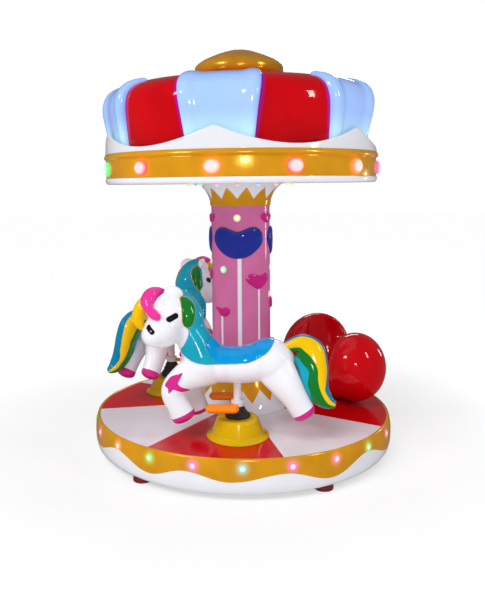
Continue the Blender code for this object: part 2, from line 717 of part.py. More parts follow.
PONIES = [("front", 40.0, 0.0, 0.0), ("rear", -8.0, REAR_RAISED, 0.035)]
for index, (side_name, head_turn, raised, sway) in enumerate(PONIES):
    place = ride_place(index)
    lifted = Matrix.Translation((0.0, 0.0, raised)) @ place
    body = swayed(pony_body(head_turn), sway)
    mane = combined(swayed(pony_mane(), sway), round_body(body), "DIFFERENCE")
    forelock = combined(swayed(pony_forelock(head_turn), sway), round_body(body), "DIFFERENCE")
    forelock = combined(forelock, [grown(mane, 0.0016)], "DIFFERENCE")
    saddle = pony_saddle(body)
    tail = combined(pony_tail(), round_body(body), "DIFFERENCE")
    pole = turned([(0.0, POLE_LOW), (POLE_R, POLE_LOW), (POLE_R, 0.290), (0.0, 0.290)], 16)
    pole = combined(pole, round_body(body), "DIFFERENCE")
    finish(f"pony_{side_name}_body", moved(body, lifted), WHITE)
    finish(f"pony_{side_name}_mane", moved(mane, lifted), TEAL)
    finish(f"pony_{side_name}_forelock", moved(forelock, lifted), HOT_PINK)
    finish(f"pony_{side_name}_tail", moved(tail, lifted), TEAL)
    finish(f"pony_{side_name}_saddle", moved(saddle, lifted), SKY)
    finish(f"pony_{side_name}_pole", moved(pole, lifted), POLE)
    finish(f"pony_{side_name}_footrest", moved(footrest(), lifted), ORANGE)
    finish(f"cup_{side_name}", seated(moved(turned(CUP, 24), place)), YELLOW)
    finish(f"boot_{side_name}", moved(turned(boot_profile(raised), 16), place), BLACK)


# Tub seat: a rounded hood ahead, a high round back behind and a hollow for the rider between them
def tub_seat(place):
    bm = bmesh.new()
    ball(bm, (0.165, 0.0, 0.195), (0.150, 0.158, 0.178))
    ball(bm, (-0.160, 0.0, 0.226), (0.128, 0.214, 0.202))
    ball(bm, (0.000, 0.0, 0.135), (0.235, 0.178, 0.135))
    skin = moved(one_skin(bm, 0.010, 900), place)
    under = turned([(0.0, 0.05), (0.0, floor_z(0.0) + GAP), (COLUMN_FOOT_R, floor_z(0.0) + GAP),
                    (0.730, floor_z(0.730) + GAP), (0.790, floor_z(0.730) + GAP), (0.790, 0.05)], 48)
    hollow = bmesh.new()
    ball(hollow, (-0.040, 0.0, 0.345), (0.105, 0.150, 0.205), (0, -6, 0), 10, 18)
    return combined(skin, [under, moved(hollow, place)], "DIFFERENCE")


SEAT_R = 0.535
SEAT_ANGLE = radians(19.5)
SEAT_TURN = SEAT_ANGLE - pi / 2 + radians(13.0)
seat_place = Matrix.Translation((SEAT_R * cos(SEAT_ANGLE), SEAT_R * sin(SEAT_ANGLE), DECK_Z))
seat_place = seat_place @ Matrix.Rotation(SEAT_TURN, 4, "Z")
finish("seat_tub", tub_seat(seat_place), RED)
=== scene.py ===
# %% [markdown]
# # A small fairground carousel
# This lesson dresses a fairground carousel for toddlers: a round floor on five feet, a pink column, a
# canopy in the shape of a crown, two ponies that bob on poles and a red tub seat. The real ride is
# glass-fibre with a thick glossy gel coat, so nearly every surface is smooth, rounded at its edges and
# painted in one clear colour. The measured solids come in as a fixed frame. Most pieces below are finer
# skins over those solids, and the rest are small trim on them. Each piece except the rubber boots rides on
# the same moving body as the solid under it.

# %% Load the frame
import bpy
import bmesh
from collections import namedtuple
from math import acos, ceil, cos, hypot, pi, radians, sin
from mathutils import Matrix, Vector
from mathutils.bvhtree import BVHTree


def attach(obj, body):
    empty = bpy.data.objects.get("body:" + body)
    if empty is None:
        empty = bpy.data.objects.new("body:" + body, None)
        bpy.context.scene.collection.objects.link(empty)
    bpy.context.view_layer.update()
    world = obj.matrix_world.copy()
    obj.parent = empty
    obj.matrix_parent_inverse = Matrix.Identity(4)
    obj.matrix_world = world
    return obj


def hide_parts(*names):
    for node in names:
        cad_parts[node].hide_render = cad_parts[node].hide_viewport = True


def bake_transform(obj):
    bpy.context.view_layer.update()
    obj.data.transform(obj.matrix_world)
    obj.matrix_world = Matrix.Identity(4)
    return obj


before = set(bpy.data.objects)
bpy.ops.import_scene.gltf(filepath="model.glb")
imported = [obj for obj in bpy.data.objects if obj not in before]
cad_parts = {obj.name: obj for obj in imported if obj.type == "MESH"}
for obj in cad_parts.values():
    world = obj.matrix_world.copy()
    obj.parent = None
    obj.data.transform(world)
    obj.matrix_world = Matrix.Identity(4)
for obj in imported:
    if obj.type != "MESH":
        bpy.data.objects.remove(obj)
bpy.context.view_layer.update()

# %% [markdown]
# ## The camera
# The photograph was taken from the front, with the lens a little below the canopy. A camera was fitted to
# the rings of the floor and the canopy, and its place, direction and lens are written here as numbers. The
# picture is a crop, so the lens is shifted until its axis meets the picture where the fit found it.

# %% Set up the camera
SENSOR = 36.0
FOCAL_PIXELS = 709.6
PICTURE_WIDE = 485.0
PICTURE_TALL = 590.0
AXIS_IN_PICTURE = (208.98, 228.27)
CAMERA_PLACE = (0.0, -3.6324, 1.3237)
PITCH, YAW, ROLL = 0.06, -0.0445, -0.0106
ahead = Vector((sin(YAW) * cos(PITCH), cos(YAW) * cos(PITCH), -sin(PITCH)))
level = Vector((cos(YAW), -sin(YAW), 0.0))
upward = level.cross(ahead)
right = cos(ROLL) * level + sin(ROLL) * upward
above = -sin(ROLL) * level + cos(ROLL) * upward
camera_data = bpy.data.cameras.new("camera")
camera_data.sensor_width = SENSOR
camera_data.lens = FOCAL_PIXELS / PICTURE_TALL * SENSOR
camera_data.shift_x = (PICTURE_WIDE / 2 - AXIS_IN_PICTURE[0]) / PICTURE_TALL
camera_data.shift_y = (AXIS_IN_PICTURE[1] - PICTURE_TALL / 2) / PICTURE_TALL
camera = bpy.data.objects.new("camera", camera_data)
turn = Matrix((right, above, -ahead)).transposed().to_4x4()
camera.matrix_world = Matrix.Translation(CAMERA_PLACE) @ turn
bpy.context.scene.collection.objects.link(camera)
bpy.context.scene.camera = camera
print("lens", round(camera_data.lens, 2), "mm")

# %% [markdown]
# ## Shader maths as Python
# A painted pattern is a sum: a distance, a remainder, a product. Written node by node it can't be read, so
# a small class wraps an output socket and turns Python's operators, from + to **, into Math nodes. Every
# other node comes from one method, `node`, which takes the node's type, its settings and then its values
# or links.

# %% Wrap the sockets
NODE_WIDE = 220
NODE_TALL = 260
NODES_IN_ROW = 8


class Wire:
    """An output socket. Arithmetic on wires adds the Math nodes that work it out."""

    def __init__(self, finish, socket):
        self.finish = finish
        self.socket = socket

    def math(self, operation, *values):
        return self.finish.node("ShaderNodeMath", {"operation": operation}, values)

    def __add__(self, other):
        return self.math("ADD", self, other)

    def __sub__(self, other):
        return self.math("SUBTRACT", self, other)

    def __rsub__(self, other):
        return self.math("SUBTRACT", other, self)

    def __mul__(self, other):
        return self.math("MULTIPLY", self, other)

    def __truediv__(self, other):
        return self.math("DIVIDE", self, other)

    def __rtruediv__(self, other):
        return self.math("DIVIDE", other, self)

    def __mod__(self, other):
        return self.math("FLOORED_MODULO", self, other)

    def __pow__(self, other):
        return self.math("POWER", self, other)

    def __rpow__(self, other):
        return self.math("POWER", other, self)

    def __abs__(self):
        return self.math("ABSOLUTE", self)

    __radd__ = __add__
    __rmul__ = __mul__

    def floor(self):
        return self.math("FLOOR", self)

    def root(self):
        return self.math("SQRT", self)

    def arctan2(self, other):
        return self.math("ARCTAN2", self, other)

    def smooth_steps(self, low, high):
        """0 below low, 1 above high and a soft ramp between."""
        limits = {"interpolation_type": "SMOOTHSTEP"}
        values = {0: self, 1: low, 2: high}
        return self.finish.node("ShaderNodeMapRange", limits, values)


class Finish:
    """A material that is written as sums."""

    def __init__(self, name, tree=None):
        if tree is None:
            self.material = bpy.data.materials.new(name)
            self.material.use_nodes = True
            tree = self.material.node_tree
        self.tree = tree
        self.shader = tree.nodes.get("Principled BSDF") or tree.nodes.get("Background")
        self.made = 0

    def node(self, kind, settings=None, values=(), output=0):
        """Adds a node: its settings are set first, then the values or links of its sockets."""
        made = self.tree.nodes.new(kind)
        self.made += 1
        column = 1 + self.made % NODES_IN_ROW
        made.location = (-NODE_WIDE * column, NODE_TALL * (self.made // NODES_IN_ROW))
        for key, value in (settings or {}).items():
            if key == "stops":
                self.fill_ramp(made.color_ramp, value)
            else:
                setattr(made, key, value)
        pairs = values.items() if isinstance(values, dict) else enumerate(values)
        for key, value in pairs:
            if isinstance(value, Wire):
                self.tree.links.new(value.socket, made.inputs[key])
            else:
                made.inputs[key].default_value = value
        return Wire(self, made.outputs[output])

    def fill_ramp(self, ramp, stops):
        ramp.interpolation = stops[0]
        while len(ramp.elements) < len(stops) - 1:
            ramp.elements.new(0.5)
        for element, (place, colour) in zip(ramp.elements, stops[1:]):
            element.position = place
            element.color = (*colour, 1.0)

    def put(self, socket, value):
        """Sets a socket of the surface shader to a number, a colour or a wire."""
        target = self.shader.inputs[socket]
        if isinstance(value, Wire):
            self.tree.links.new(value.socket, target)
        elif isinstance(value, tuple):
            target.default_value = (*value, 1.0)
        else:
            target.default_value = value

    def place(self):
        """Position on the piece, as a vector."""
        return self.node("ShaderNodeTexCoord", output="Object")

    def axes(self, vector):
        """The x, y and z of a vector."""
        parts = self.node("ShaderNodeSeparateXYZ", values=[vector]).socket.node
        return [Wire(self, out) for out in parts.outputs]

    def mix(self, share, one, two):
        """One colour turning into another."""
        pair = [c if isinstance(c, Wire) else (*c, 1.0) for c in (one, two)]
        return self.node("ShaderNodeMix", {"data_type": "RGBA"}, {0: share, 6: pair[0], 7: pair[1]}, 2)

    def noise(self, where, scale, detail=2.0):
        return self.node("ShaderNodeTexNoise", None, {"Vector": where, "Scale": scale, "Detail": detail})

    def bump(self, height, strength, distance):
        """Bends the reflections as if the surface had this height."""
        values = {"Strength": strength, "Distance": distance, "Height": height}
        self.put("Normal", self.node("ShaderNodeBump", None, values))


def srgb(red, green, blue):
    """A colour as it is read off a screen, in the linear values that shaders want."""
    return tuple(c / 12.92 if c <= 0.04045 else ((c + 0.055) / 1.055) ** 2.4 for c in (red, green, blue))


print("colour check:", [round(c, 3) for c in srgb(0.5, 0.5, 0.5)])

# %% [markdown]
# ## A pale studio
# The ride stands in a white studio. A large pale floor takes the soft shadow, a broad sun-like light comes
# from the upper left, and a few softboxes give the bright streaks that gel coat shows. The floor shines a
# little by itself, dimmer near the ride, which paints a soft shadow round it, and brighter away from it,
# so that it meets the white behind it without a line.
# The world lights the ride with a calm grey, shows a darker grey to reflections, so that glossy colours
# stay deep, and is white where the camera sees it.

# %% Floor, light and world
bpy.context.scene.view_settings.view_transform = "Standard"
STUDIO_HALF = 30
# Name, place, point it looks at, width and height, power
SOFT_LIGHTS = [("softbox_left", (-2.6, -2.6, 2.9), (0.0, 0.0, 1.1), (0.9, 0.4), 34.0),
               ("softbox_right", (2.8, -1.9, 2.4), (0.0, 0.0, 1.0), (0.30, 1.0), 20.0),
               ("softbox_back", (0.6, 3.2, 2.6), (0.0, 0.0, 1.2), (1.6, 0.6), 16.0),
               ("front_fill", (0.3, -4.6, 1.6), (0.0, 0.0, 0.7), (0.5, 0.35), 22.0),
               ("strip_right", (2.9, 1.35, 0.95), (0.0, 0.0, 1.0), (0.12, 0.6), 5.0)]


def soft_light(name, place, aim, size, power):
    """A rectangle of light that looks at a point."""
    data = bpy.data.lights.new(name, "AREA")
    data.shape = "RECTANGLE"
    data.size, data.size_y = size
    data.energy = power
    light = bpy.data.objects.new(name, data)
    way = Vector(aim) - Vector(place)
    light.matrix_world = Matrix.Translation(place) @ way.to_track_quat("-Z", "Y").to_matrix().to_4x4()
    bpy.context.scene.collection.objects.link(light)


sun_data = bpy.data.lights.new("broad_light", "SUN")
sun_data.energy = 1.4
sun_data.angle = radians(38.0)
sun = bpy.data.objects.new("broad_light", sun_data)
sun.rotation_euler = (radians(34.0), radians(-22.0), 0.0)
sun.visible_glossy = False
bpy.context.scene.collection.objects.link(sun)
for light in SOFT_LIGHTS:
    soft_light(*light)

floor_mesh = bpy.data.meshes.new("studio_floor")
corners = [(x * STUDIO_HALF, y * STUDIO_HALF, 0) for x, y in ((-1, -1), (1, -1), (1, 1), (-1, 1))]
floor_mesh.from_pydata(corners, [], [(0, 1, 2, 3)])
studio_floor = bpy.data.objects.new("studio_floor", floor_mesh)
bpy.context.scene.collection.objects.link(studio_floor)
studio_floor.visible_glossy = False
pale = Finish("floor_pale")
where = pale.place()
x, y, z = pale.axes(where)
pale.put("Base Color", pale.mix(pale.noise(where, 1.5), (0.44, 0.44, 0.44), (0.46, 0.46, 0.46)))
pale.put("Roughness", 0.7)
pale.put("Specular IOR Level", 0.1)
# Painted shade: the floor's glow is dimmer near the ride, a soft shadow painted round it
painted_shadow_fade = (x * x + y * y).root().smooth_steps(0.9, 2.4)
pale.put("Emission Color", pale.mix(painted_shadow_fade, (0.76, 0.76, 0.76), (1.0, 1.0, 1.0)))
pale.put("Emission Strength", 0.72)
floor_mesh.materials.append(pale.material)

world = bpy.data.worlds.new("studio")
bpy.context.scene.world = world
world.use_nodes = True
sky = Finish("studio", world.node_tree)
x, y, z = sky.axes(sky.node("ShaderNodeTexCoord", output="Generated"))
shade = sky.mix(z.smooth_steps(0.05, 0.75), (0.36, 0.36, 0.36), (0.26, 0.26, 0.27))
mirrored = sky.node("ShaderNodeLightPath", output="Is Glossy Ray")
shade = sky.mix(mirrored, shade, (0.13, 0.13, 0.14))
seen = sky.node("ShaderNodeLightPath", output="Is Camera Ray")
sky.put("Color", sky.mix(seen, shade, (1.0, 1.0, 1.0)))
sky.put("Strength", 1.0)
print("studio ready:", 1 + len(SOFT_LIGHTS), "lights")

# %% [markdown]
# ## Gel coat
# Glass-fibre rides get their colour from gel coat, a thick polyester paint that is sprayed into the mould.
# It is one clear colour with a faint cloudiness, a wet gloss, and a waviness of a few millimetres that
# bends every reflection a little. Handling leaves fine hazy patches, so the roughness varies as well.

# %% Make the gel coat finishes


def gel_coat(name, colour, gloss=0.10, cloud=0.10, metal=0.0):
    """A glossy coat, faintly cloudy and hazy. Gives the finish, its base colour and its place."""
    paint = Finish(name)
    where = paint.place()
    clouds = paint.noise(where, 7.0, 3.0).smooth_steps(0.30, 0.70)
    deep = tuple(c * (1.0 - cloud) for c in colour)
    base = paint.mix(clouds, deep, colour)
    paint.put("Base Color", base)
    haze = paint.noise(where, 21.0, 4.0)
    paint.put("Roughness", gloss + 0.10 * haze.smooth_steps(0.45, 0.85))
    swell = paint.noise(where, 34.0, 1.0)
    paint.bump(swell, 0.35, 0.0006)
    paint.put("Metallic", metal)
    paint.put("Specular IOR Level", 0.28)
    paint.put("Coat Weight", 0.20)
    paint.put("Coat Roughness", 0.03)
    return paint, base, where


def plain_coat(name, colour, **more):
    """A gel coat without a pattern of its own."""
    return gel_coat(name, colour, **more)[0]


GOLD = srgb(0.92, 0.64, 0.10)
white_coat = plain_coat("white_gel_coat", srgb(0.90, 0.90, 0.925), cloud=0.03)
pony_coat = plain_coat("pony_white", srgb(0.915, 0.91, 0.935), cloud=0.025)
floor_white = plain_coat("floor_white", srgb(0.90, 0.88, 0.90), gloss=0.13, cloud=0.04)
floor_red = plain_coat("floor_red", srgb(0.80, 0.03, 0.06), gloss=0.13, cloud=0.12)
teal_coat = plain_coat("mane_teal", srgb(0.08, 0.63, 0.73), cloud=0.14)
green_coat = plain_coat("lock_green", srgb(0.07, 0.46, 0.16))
yellow_coat = plain_coat("stripe_yellow", srgb(0.93, 0.74, 0.01), cloud=0.06)
rim_blue_coat = plain_coat("stripe_blue", srgb(0.01, 0.48, 0.64))
saddle_coat = plain_coat("saddle_blue", srgb(0.0, 0.57, 0.83), cloud=0.08)
hot_pink_coat = plain_coat("forelock_pink", srgb(0.93, 0.20, 0.60), cloud=0.08)
hoof_coat = plain_coat("hoof_magenta", srgb(0.82, 0.16, 0.52), cloud=0.08)
cup_coat = plain_coat("cup_yellow", srgb(0.85, 0.69, 0.01), cloud=0.08)
orange_coat = plain_coat("footrest_orange", srgb(1.0, 0.52, 0.02), gloss=0.30, cloud=0.05)
seat_coat = plain_coat("seat_red", srgb(0.78, 0.01, 0.06), gloss=0.07, cloud=0.10)
heart_blue_coat = plain_coat("heart_blue", srgb(0.14, 0.19, 0.57), gloss=0.07)
heart_pink_coat = plain_coat("heart_magenta", srgb(0.79, 0.13, 0.49), gloss=0.09)
pole_coat = plain_coat("pole_white", srgb(0.89, 0.89, 0.91), gloss=0.16, cloud=0.03)
eye_coat = plain_coat("eye_black", srgb(0.07, 0.07, 0.08), gloss=0.16)
gold_coat = plain_coat("gold_paint", GOLD, gloss=0.16, cloud=0.16, metal=0.25)
cap_coat = plain_coat("cap_gold", srgb(0.92, 0.64, 0.13), gloss=0.22, cloud=0.22, metal=0.40)
print("materials so far:", len(bpy.data.materials))

# %% [markdown]
# ## Metal, rubber and bare glass-fibre
# Under the floor the ride is plain workshop stuff: a welded steel star in dull paint and dark red feet,
# both rubbed through to another colour in small patches. The boots are matt black rubber with a grey
# bloom.

# %% Make the working finishes


def worn_paint(name, colour, bare, gloss, wear):
    """Dull paint with a fine grain, rubbed through to another colour in small patches."""
    paint = Finish(name)
    where = paint.place()
    scuff = paint.noise(where, 38.0, 6.0) + 0.25 * paint.noise(where, 160.0, 2.0)
    paint.put("Base Color", paint.mix(scuff.smooth_steps(wear, wear + 0.1), colour, bare))
    paint.put("Roughness", gloss + 0.25 * paint.noise(where, 12.0, 4.0))
    grain = paint.noise(where, 320.0, 3.0)
    paint.bump(grain, 0.3, 0.0004)
    return paint


steel_coat = worn_paint("frame_steel", srgb(0.30, 0.30, 0.31), srgb(0.46, 0.40, 0.34), 0.40, 0.74)
foot_coat = worn_paint("foot_maroon", srgb(0.47, 0.05, 0.08), srgb(0.33, 0.20, 0.18), 0.30, 0.76)
raw_fibre = worn_paint("raw_glass_fibre", srgb(0.70, 0.69, 0.64), srgb(0.60, 0.58, 0.50), 0.50, 0.62)
boot_rubber = worn_paint("boot_rubber", srgb(0.115, 0.125, 0.115), srgb(0.20, 0.20, 0.19), 0.42, 0.60)
print("working finishes made")

# %% [markdown]
# ## Making pieces
# A piece is a mesh with its finishes, on the body that carries it. Edges sharper than about forty degrees
# stay crisp and the rest is shaded smooth.

# %% Helpers that make pieces
CORNER_STEPS = 3


def piece(name, bm, body, finishes, replaces=(), crisp=40.0):
    """Turns a mesh into a named piece that rides on a body."""
    bmesh.ops.recalc_face_normals(bm, faces=bm.faces[:])
    mesh = bpy.data.meshes.new(name)
    bm.to_mesh(mesh)
    bm.free()
    for finish in finishes:
        mesh.materials.append(finish.material)
    mesh.shade_smooth()
    mesh.set_sharp_from_angle(angle=radians(crisp))
    obj = bpy.data.objects.new(name, mesh)
    bpy.context.scene.collection.objects.link(obj)
    if body:
        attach(obj, body)
    if replaces:
        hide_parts(*replaces)
    print(name, len(mesh.polygons), "faces")
    return obj


def rounded(points, radius):
    """An open outline with its corners rounded."""
    out = [points[0]]
    for before, corner, after in zip(points, points[1:], points[2:]):
        c = Vector(corner)
        a = Vector(before) - c
        b = Vector(after) - c
        cut = min(radius, a.length * 0.45, b.length * 0.45)
        one = c + a.normalized() * cut
        two = c + b.normalized() * cut
        for k in range(CORNER_STEPS + 1):
            t = k / CORNER_STEPS
            out.append(tuple(one * (1 - t) ** 2 + c * 2 * t * (1 - t) + two * t * t))
    out.append(points[-1])
    return out


def lathe(rows, count, phase=0.0, paint=None, extra=(), closed=True):
    """A turned body. A row is (radius, height) or a function of the angle that gives them."""
    turns = [phase + 2 * pi * i / count for i in range(count)]
    turns = sorted(set(turns) | set(extra))
    kept = [turns[0]]
    for t in turns[1:]:
        if t - kept[-1] > 1e-5:
            kept.append(t)
    bm = bmesh.new()
    rings = []
    for row in rows:
        if not callable(row) and row[0] < 1e-6:
            rings.append([bm.verts.new((0.0, 0.0, row[1]))] * len(kept))
            continue
        ring = []
        for t in kept:
            radius, height = row(t) if callable(row) else row
            ring.append(bm.verts.new((radius * cos(t), radius * sin(t), height)))
        rings.append(ring)
    pairs = list(zip(rings, rings[1:] + rings[:1])) if closed else list(zip(rings, rings[1:]))
    for k, (a, b) in enumerate(pairs):
        for i in range(len(kept)):
            j = (i + 1) % len(kept)
            corners = []
            for v in (a[i], a[j], b[j], b[i]):
                if v not in corners:
                    corners.append(v)
            if len(corners) > 2:
                face = bm.faces.new(corners)
                following = kept[j] + (2 * pi if j == 0 else 0)
                if paint:
                    face.material_index = paint(k, (kept[i] + following) / 2)
    return bm


print("steps in a rounded corner:", CORNER_STEPS)

# %% [markdown]
# ## Curves and places
# Hems, profiles and outlines are smooth curves through a few points, so that a handful of numbers gives a
# soft line. Other small helpers carry a mesh to its place or read the bearing of a point.

# %% Helpers for curves and places


def curve_point(before, one, two, after, t):
    """A point between the second and the third of four points, on the smooth curve through them."""
    row = []
    for a, b, c, d in zip(before, one, two, after):
        row.append(0.5 * (2 * b + (c - a) * t + (2 * a - 5 * b + 4 * c - d) * t * t
                          + (3 * b - a - 3 * c + d) * t * t * t))
    return tuple(row)


def smooth_path(points, steps):
    """Values along a smooth curve through the given tuples."""
    out = []
    last = len(points) - 1
    for i in range(last):
        four = (points[max(i - 1, 0)], points[i], points[i + 1], points[min(i + 2, last)])
        out += [curve_point(*four, k / steps) for k in range(steps)]
    out.append(tuple(points[-1]))
    return out


def moved(bm, matrix):
    """The same mesh, carried by a matrix."""
    bmesh.ops.transform(bm, matrix=matrix, verts=bm.verts[:])
    return bm


def around(outline, degrees):
    """Height read from a list of (angle, height) that goes once round, with soft waves between."""
    low = outline[0][0]
    d = (degrees - low) % 360.0 + low
    for (a0, z0), (a1, z1) in zip(outline, outline[1:] + [(low + 360.0, outline[0][1])]):
        if a0 <= d <= a1:
            t = (d - a0) / (a1 - a0)
            return z0 + (z1 - z0) * (0.5 - 0.5 * cos(pi * t))
    return outline[0][1]


def bearing(turn):
    """Angle from the front of the ride, growing to the right, in degrees."""
    return (turn * 180.0 / pi + 90.0 + 180.0) % 360.0 - 180.0


def soft_outline(points, steps=6):
    """A closed smooth curve through the points."""
    count = len(points)
    out = []
    for i in range(count):
        four = [points[(i + k) % count] for k in (-1, 0, 1, 2)]
        out += [curve_point(*four, k / steps) for k in range(steps)]
    return out


square = [(1.0, 0.0), (0.0, 1.0), (-1.0, 0.0), (0.0, -1.0)]
print("a square turns into a soft outline of", len(soft_outline(square)), "points")

# %% [markdown]
# ## Light from the lamps
# The ride wears rings of small LED lamps. Each has a pale middle and a coloured edge, and it spills a soft
# glow of its colour on the gold round it. The glow is a sum: distance to the nearest lamp of the ring,
# turned into a soft spot, times the colour of that lamp, which a stepped ramp reads from the angle.

# %% Lamp colours and glowing gold
LAMP_COLOURS = {"green": srgb(0.25, 0.95, 0.45),
                "pink": srgb(1.0, 0.35, 0.62),
                "peach": srgb(1.0, 0.60, 0.40),
                "magenta": srgb(0.95, 0.25, 0.85),
                "cyan": srgb(0.15, 0.85, 0.85),
                "yellow": srgb(1.0, 0.85, 0.25),
                "red": srgb(1.0, 0.22, 0.16),
                "amber": srgb(1.0, 0.50, 0.20),
                "sky": srgb(0.20, 0.55, 1.0)}
BLACK = (0.0, 0.0, 0.0)
# What is left of a lamp's glow at its reach
GLOW_LEFT = 0.37
# Angle of the first lamp, height and radius of the ring, reach and strength of the glow, and the colours
LampRing = namedtuple("LampRing", "phase height radius reach strength colours")
FLOOR_RING = LampRing(radians(-90.0), 0.1470, 0.749, 0.021, 0.9,
                      ["cyan", "magenta", "pink", "green", "pink", "yellow", "sky", "magenta", "green",
                       "peach", "red", "yellow", "cyan", "magenta", "green", "amber", "pink", "green",
                       "pink", "peach", "green", "magenta"])
BAND_RING = LampRing(radians(-100.0), 1.4050, 0.675, 0.034, 1.0,
                     ["amber", "red", "amber", "pink", "green", "yellow", "magenta", "red", "sky", "pink",
                      "green", "red"])


def glowing(name, ring):
    """Gold gel coat that catches the glow of a ring of lamps."""
    count = len(ring.colours)
    paint, base, where = gel_coat(name, GOLD, gloss=0.16, cloud=0.16, metal=0.25)
    x, y, z = paint.axes(where)
    share = (y.arctan2(x) - ring.phase) * (count / (2 * pi))
    nearest = (share + 0.5).floor()
    off = (share - nearest) * (2 * pi * ring.radius / count)
    up = z - ring.height
    spot = GLOW_LEFT ** ((off * off + up * up) * (1.0 / ring.reach ** 2))
    index = ((nearest + 0.5) % float(count)) / float(count)
    stops = ["CONSTANT"] + [(i / count, LAMP_COLOURS[colour]) for i, colour in enumerate(ring.colours)]
    tint = paint.node("ShaderNodeValToRGB", {"stops": stops}, [index])
    paint.put("Emission Color", paint.mix(spot, BLACK, tint))
    paint.put("Emission Strength", ring.strength)
    return paint


skirt_gold = glowing("skirt_gold", FLOOR_RING)
band_gold = glowing("band_gold", BAND_RING)
print("lamps:", len(FLOOR_RING.colours), "on the floor and", len(BAND_RING.colours), "on the canopy")

# %% [markdown]
# ## The floor
# One moulding makes the floor and its skirt. The top rises a little towards the column and is laid out in
# red and white fields. The skirt is gold, with a hand-cut wavy lower edge over white, and a rolled gold
# bead stands at the floor's edge. The waves are real edges in the mesh: one row of points follows the
# wave, so both colours meet in a clean line from any distance.

# %% Turn the floor and skirt
DECK_Z = 0.180
FLOOR_RISE = 0.018
FLOOR_HIGH = DECK_Z + FLOOR_RISE
DECK_R = 0.740
DECK_SIDES = 264
COLUMN_FOOT_R = 0.235
SLEEVE_R = 0.0348
SLEEVE_LOW = 0.104
SKIRT_TOP = 0.173
SKIRT_LOW = 0.046
# Angles from the front, in degrees, where the fields meet, and the low and high points of the wave
FIELD_EDGES = [-85.0, -35.0, 14.0, 64.6, 107.6, 149.6, 191.6, 233.6]
WAVE = [(-33, 0.078), (-19, 0.121), (-4, 0.088), (14, 0.120), (31, 0.070), (48, 0.130), (66, 0.074),
        (82.3, 0.122), (98.6, 0.080), (114.9, 0.121), (131.2, 0.076), (147.5, 0.124), (163.8, 0.080),
        (180.1, 0.120), (196.4, 0.078), (212.7, 0.125), (229, 0.080), (245.3, 0.121), (261.6, 0.077),
        (277.9, 0.123), (294.2, 0.080), (310.7, 0.130)]


def floor_z(radius):
    """Height of the floor's top at a distance from the turning axis."""
    share = (DECK_R - radius) / (DECK_R - COLUMN_FOOT_R)
    return DECK_Z + FLOOR_RISE * min(1.0, max(0.0, share))


SKIRT = smooth_path([(0.7422, SKIRT_TOP), (0.7462, 0.158), (0.7490, 0.130), (0.7490, 0.095),
                     (0.7470, 0.068), (0.7410, SKIRT_LOW)], 8)


def skirt_radius(z):
    """How far out the skirt reaches at a height."""
    for (r0, z0), (r1, z1) in zip(SKIRT, SKIRT[1:]):
        if z1 <= z <= z0:
            return r0 + (r1 - r0) * (z0 - z) / (z0 - z1)
    return SKIRT[0][0] if z > SKIRT[0][1] else SKIRT[-1][0]


def skirt_row(share, top, low):
    """A row of the skirt between two heights, each fixed or read from the wave."""
    def row(turn):
        a, b = (around(WAVE, bearing(turn)) if h == "wave" else h for h in (top, low))
        z = a + (b - a) * share
        return skirt_radius(z), z
    return row


BEAD = smooth_path([(0.7270, floor_z(0.727)), (0.7283, 0.1826), (0.7310, 0.1844), (0.7345, 0.1848),
                    (0.7378, 0.1832), (0.7402, 0.1800), (0.7416, 0.1762)], 2)
top_rows = [(SLEEVE_R, SLEEVE_LOW), (SLEEVE_R, FLOOR_HIGH - 0.0012), (SLEEVE_R + 0.0012, FLOOR_HIGH)]
top_rows += [(radius, floor_z(radius)) for radius in (COLUMN_FOOT_R, 0.34, 0.46, 0.58, 0.68)]
gold_rows = [skirt_row(k / 8, SKIRT_TOP, "wave") for k in range(9)]
white_rows = [skirt_row(k / 8, "wave", SKIRT_LOW) for k in range(1, 9)]
hem_rows = [(0.7315, 0.032), (0.7275, 0.0282), (0.722, 0.027), (0.7155, 0.0275)]
under_rows = [(0.7145, 0.030), (0.718, 0.036), (0.728, 0.052), (0.735, 0.075), (0.738, 0.110),
              (0.737, 0.150), (0.734, 0.160), (0.722, 0.170), (COLUMN_FOOT_R, 0.188), (0.080, 0.188),
              (0.070, SLEEVE_LOW)]
field_end = len(top_rows)
gold_end = field_end + len(BEAD) + len(gold_rows) - 1
white_end = gold_end + len(white_rows) + len(hem_rows)


def deck_paint(row, turn):
    """The finish of a face: the fields in turn, the gold, the white under the wave or the bare inside."""
    if row < field_end:
        past_first = (bearing(turn) - FIELD_EDGES[0]) % 360.0 + 1e-6
        field = sum(1 for edge in FIELD_EDGES if past_first >= edge - FIELD_EDGES[0])
        return (field + 1) % 2
    if row < gold_end:
        return 2
    return 3 if row < white_end else 4


first_turn = radians(FIELD_EDGES[0] - 90.0)
field_turns = [first_turn + radians(edge - FIELD_EDGES[0]) for edge in FIELD_EDGES]
deck_rows = top_rows + BEAD + gold_rows + white_rows + hem_rows + under_rows
deck_mesh = lathe(deck_rows, DECK_SIDES, first_turn, deck_paint, field_turns)
piece("floor_and_skirt", deck_mesh, "rotor", [floor_white, floor_red, skirt_gold, white_coat, raw_fibre],
      ["deck"])

# %% [markdown]
# ## Feet, frame and spindle
# The ride stands on five levelling feet, dark red discs on short stems, under the arms of a welded star.
# They hardly show, but a low view finds them, so they get rounded rims and a worn finish.

# %% Turn the feet and finish the frame
FEET = 5
FOOT_R = 0.686
FOOT = [(0.0, 0.0), (0.043, 0.0), (0.043, 0.0205), (0.014, 0.023), (0.014, 0.0446), (0.0, 0.0446)]
SPINDLE = [(0.0, 0.0854), (0.070, 0.0854), (0.070, 0.097), (0.034, 0.097), (0.034, 0.184), (0.0, 0.184)]
ARM_REACH = 0.692
ARM_HALF = 0.030
HUB_R = 0.085
FRAME_LOW = 0.045
FRAME_HIGH = 0.085


def arm_turn(i):
    """Angle of one of the star's arms and of the foot under it."""
    return radians(-59.0) + 2 * pi * i / FEET


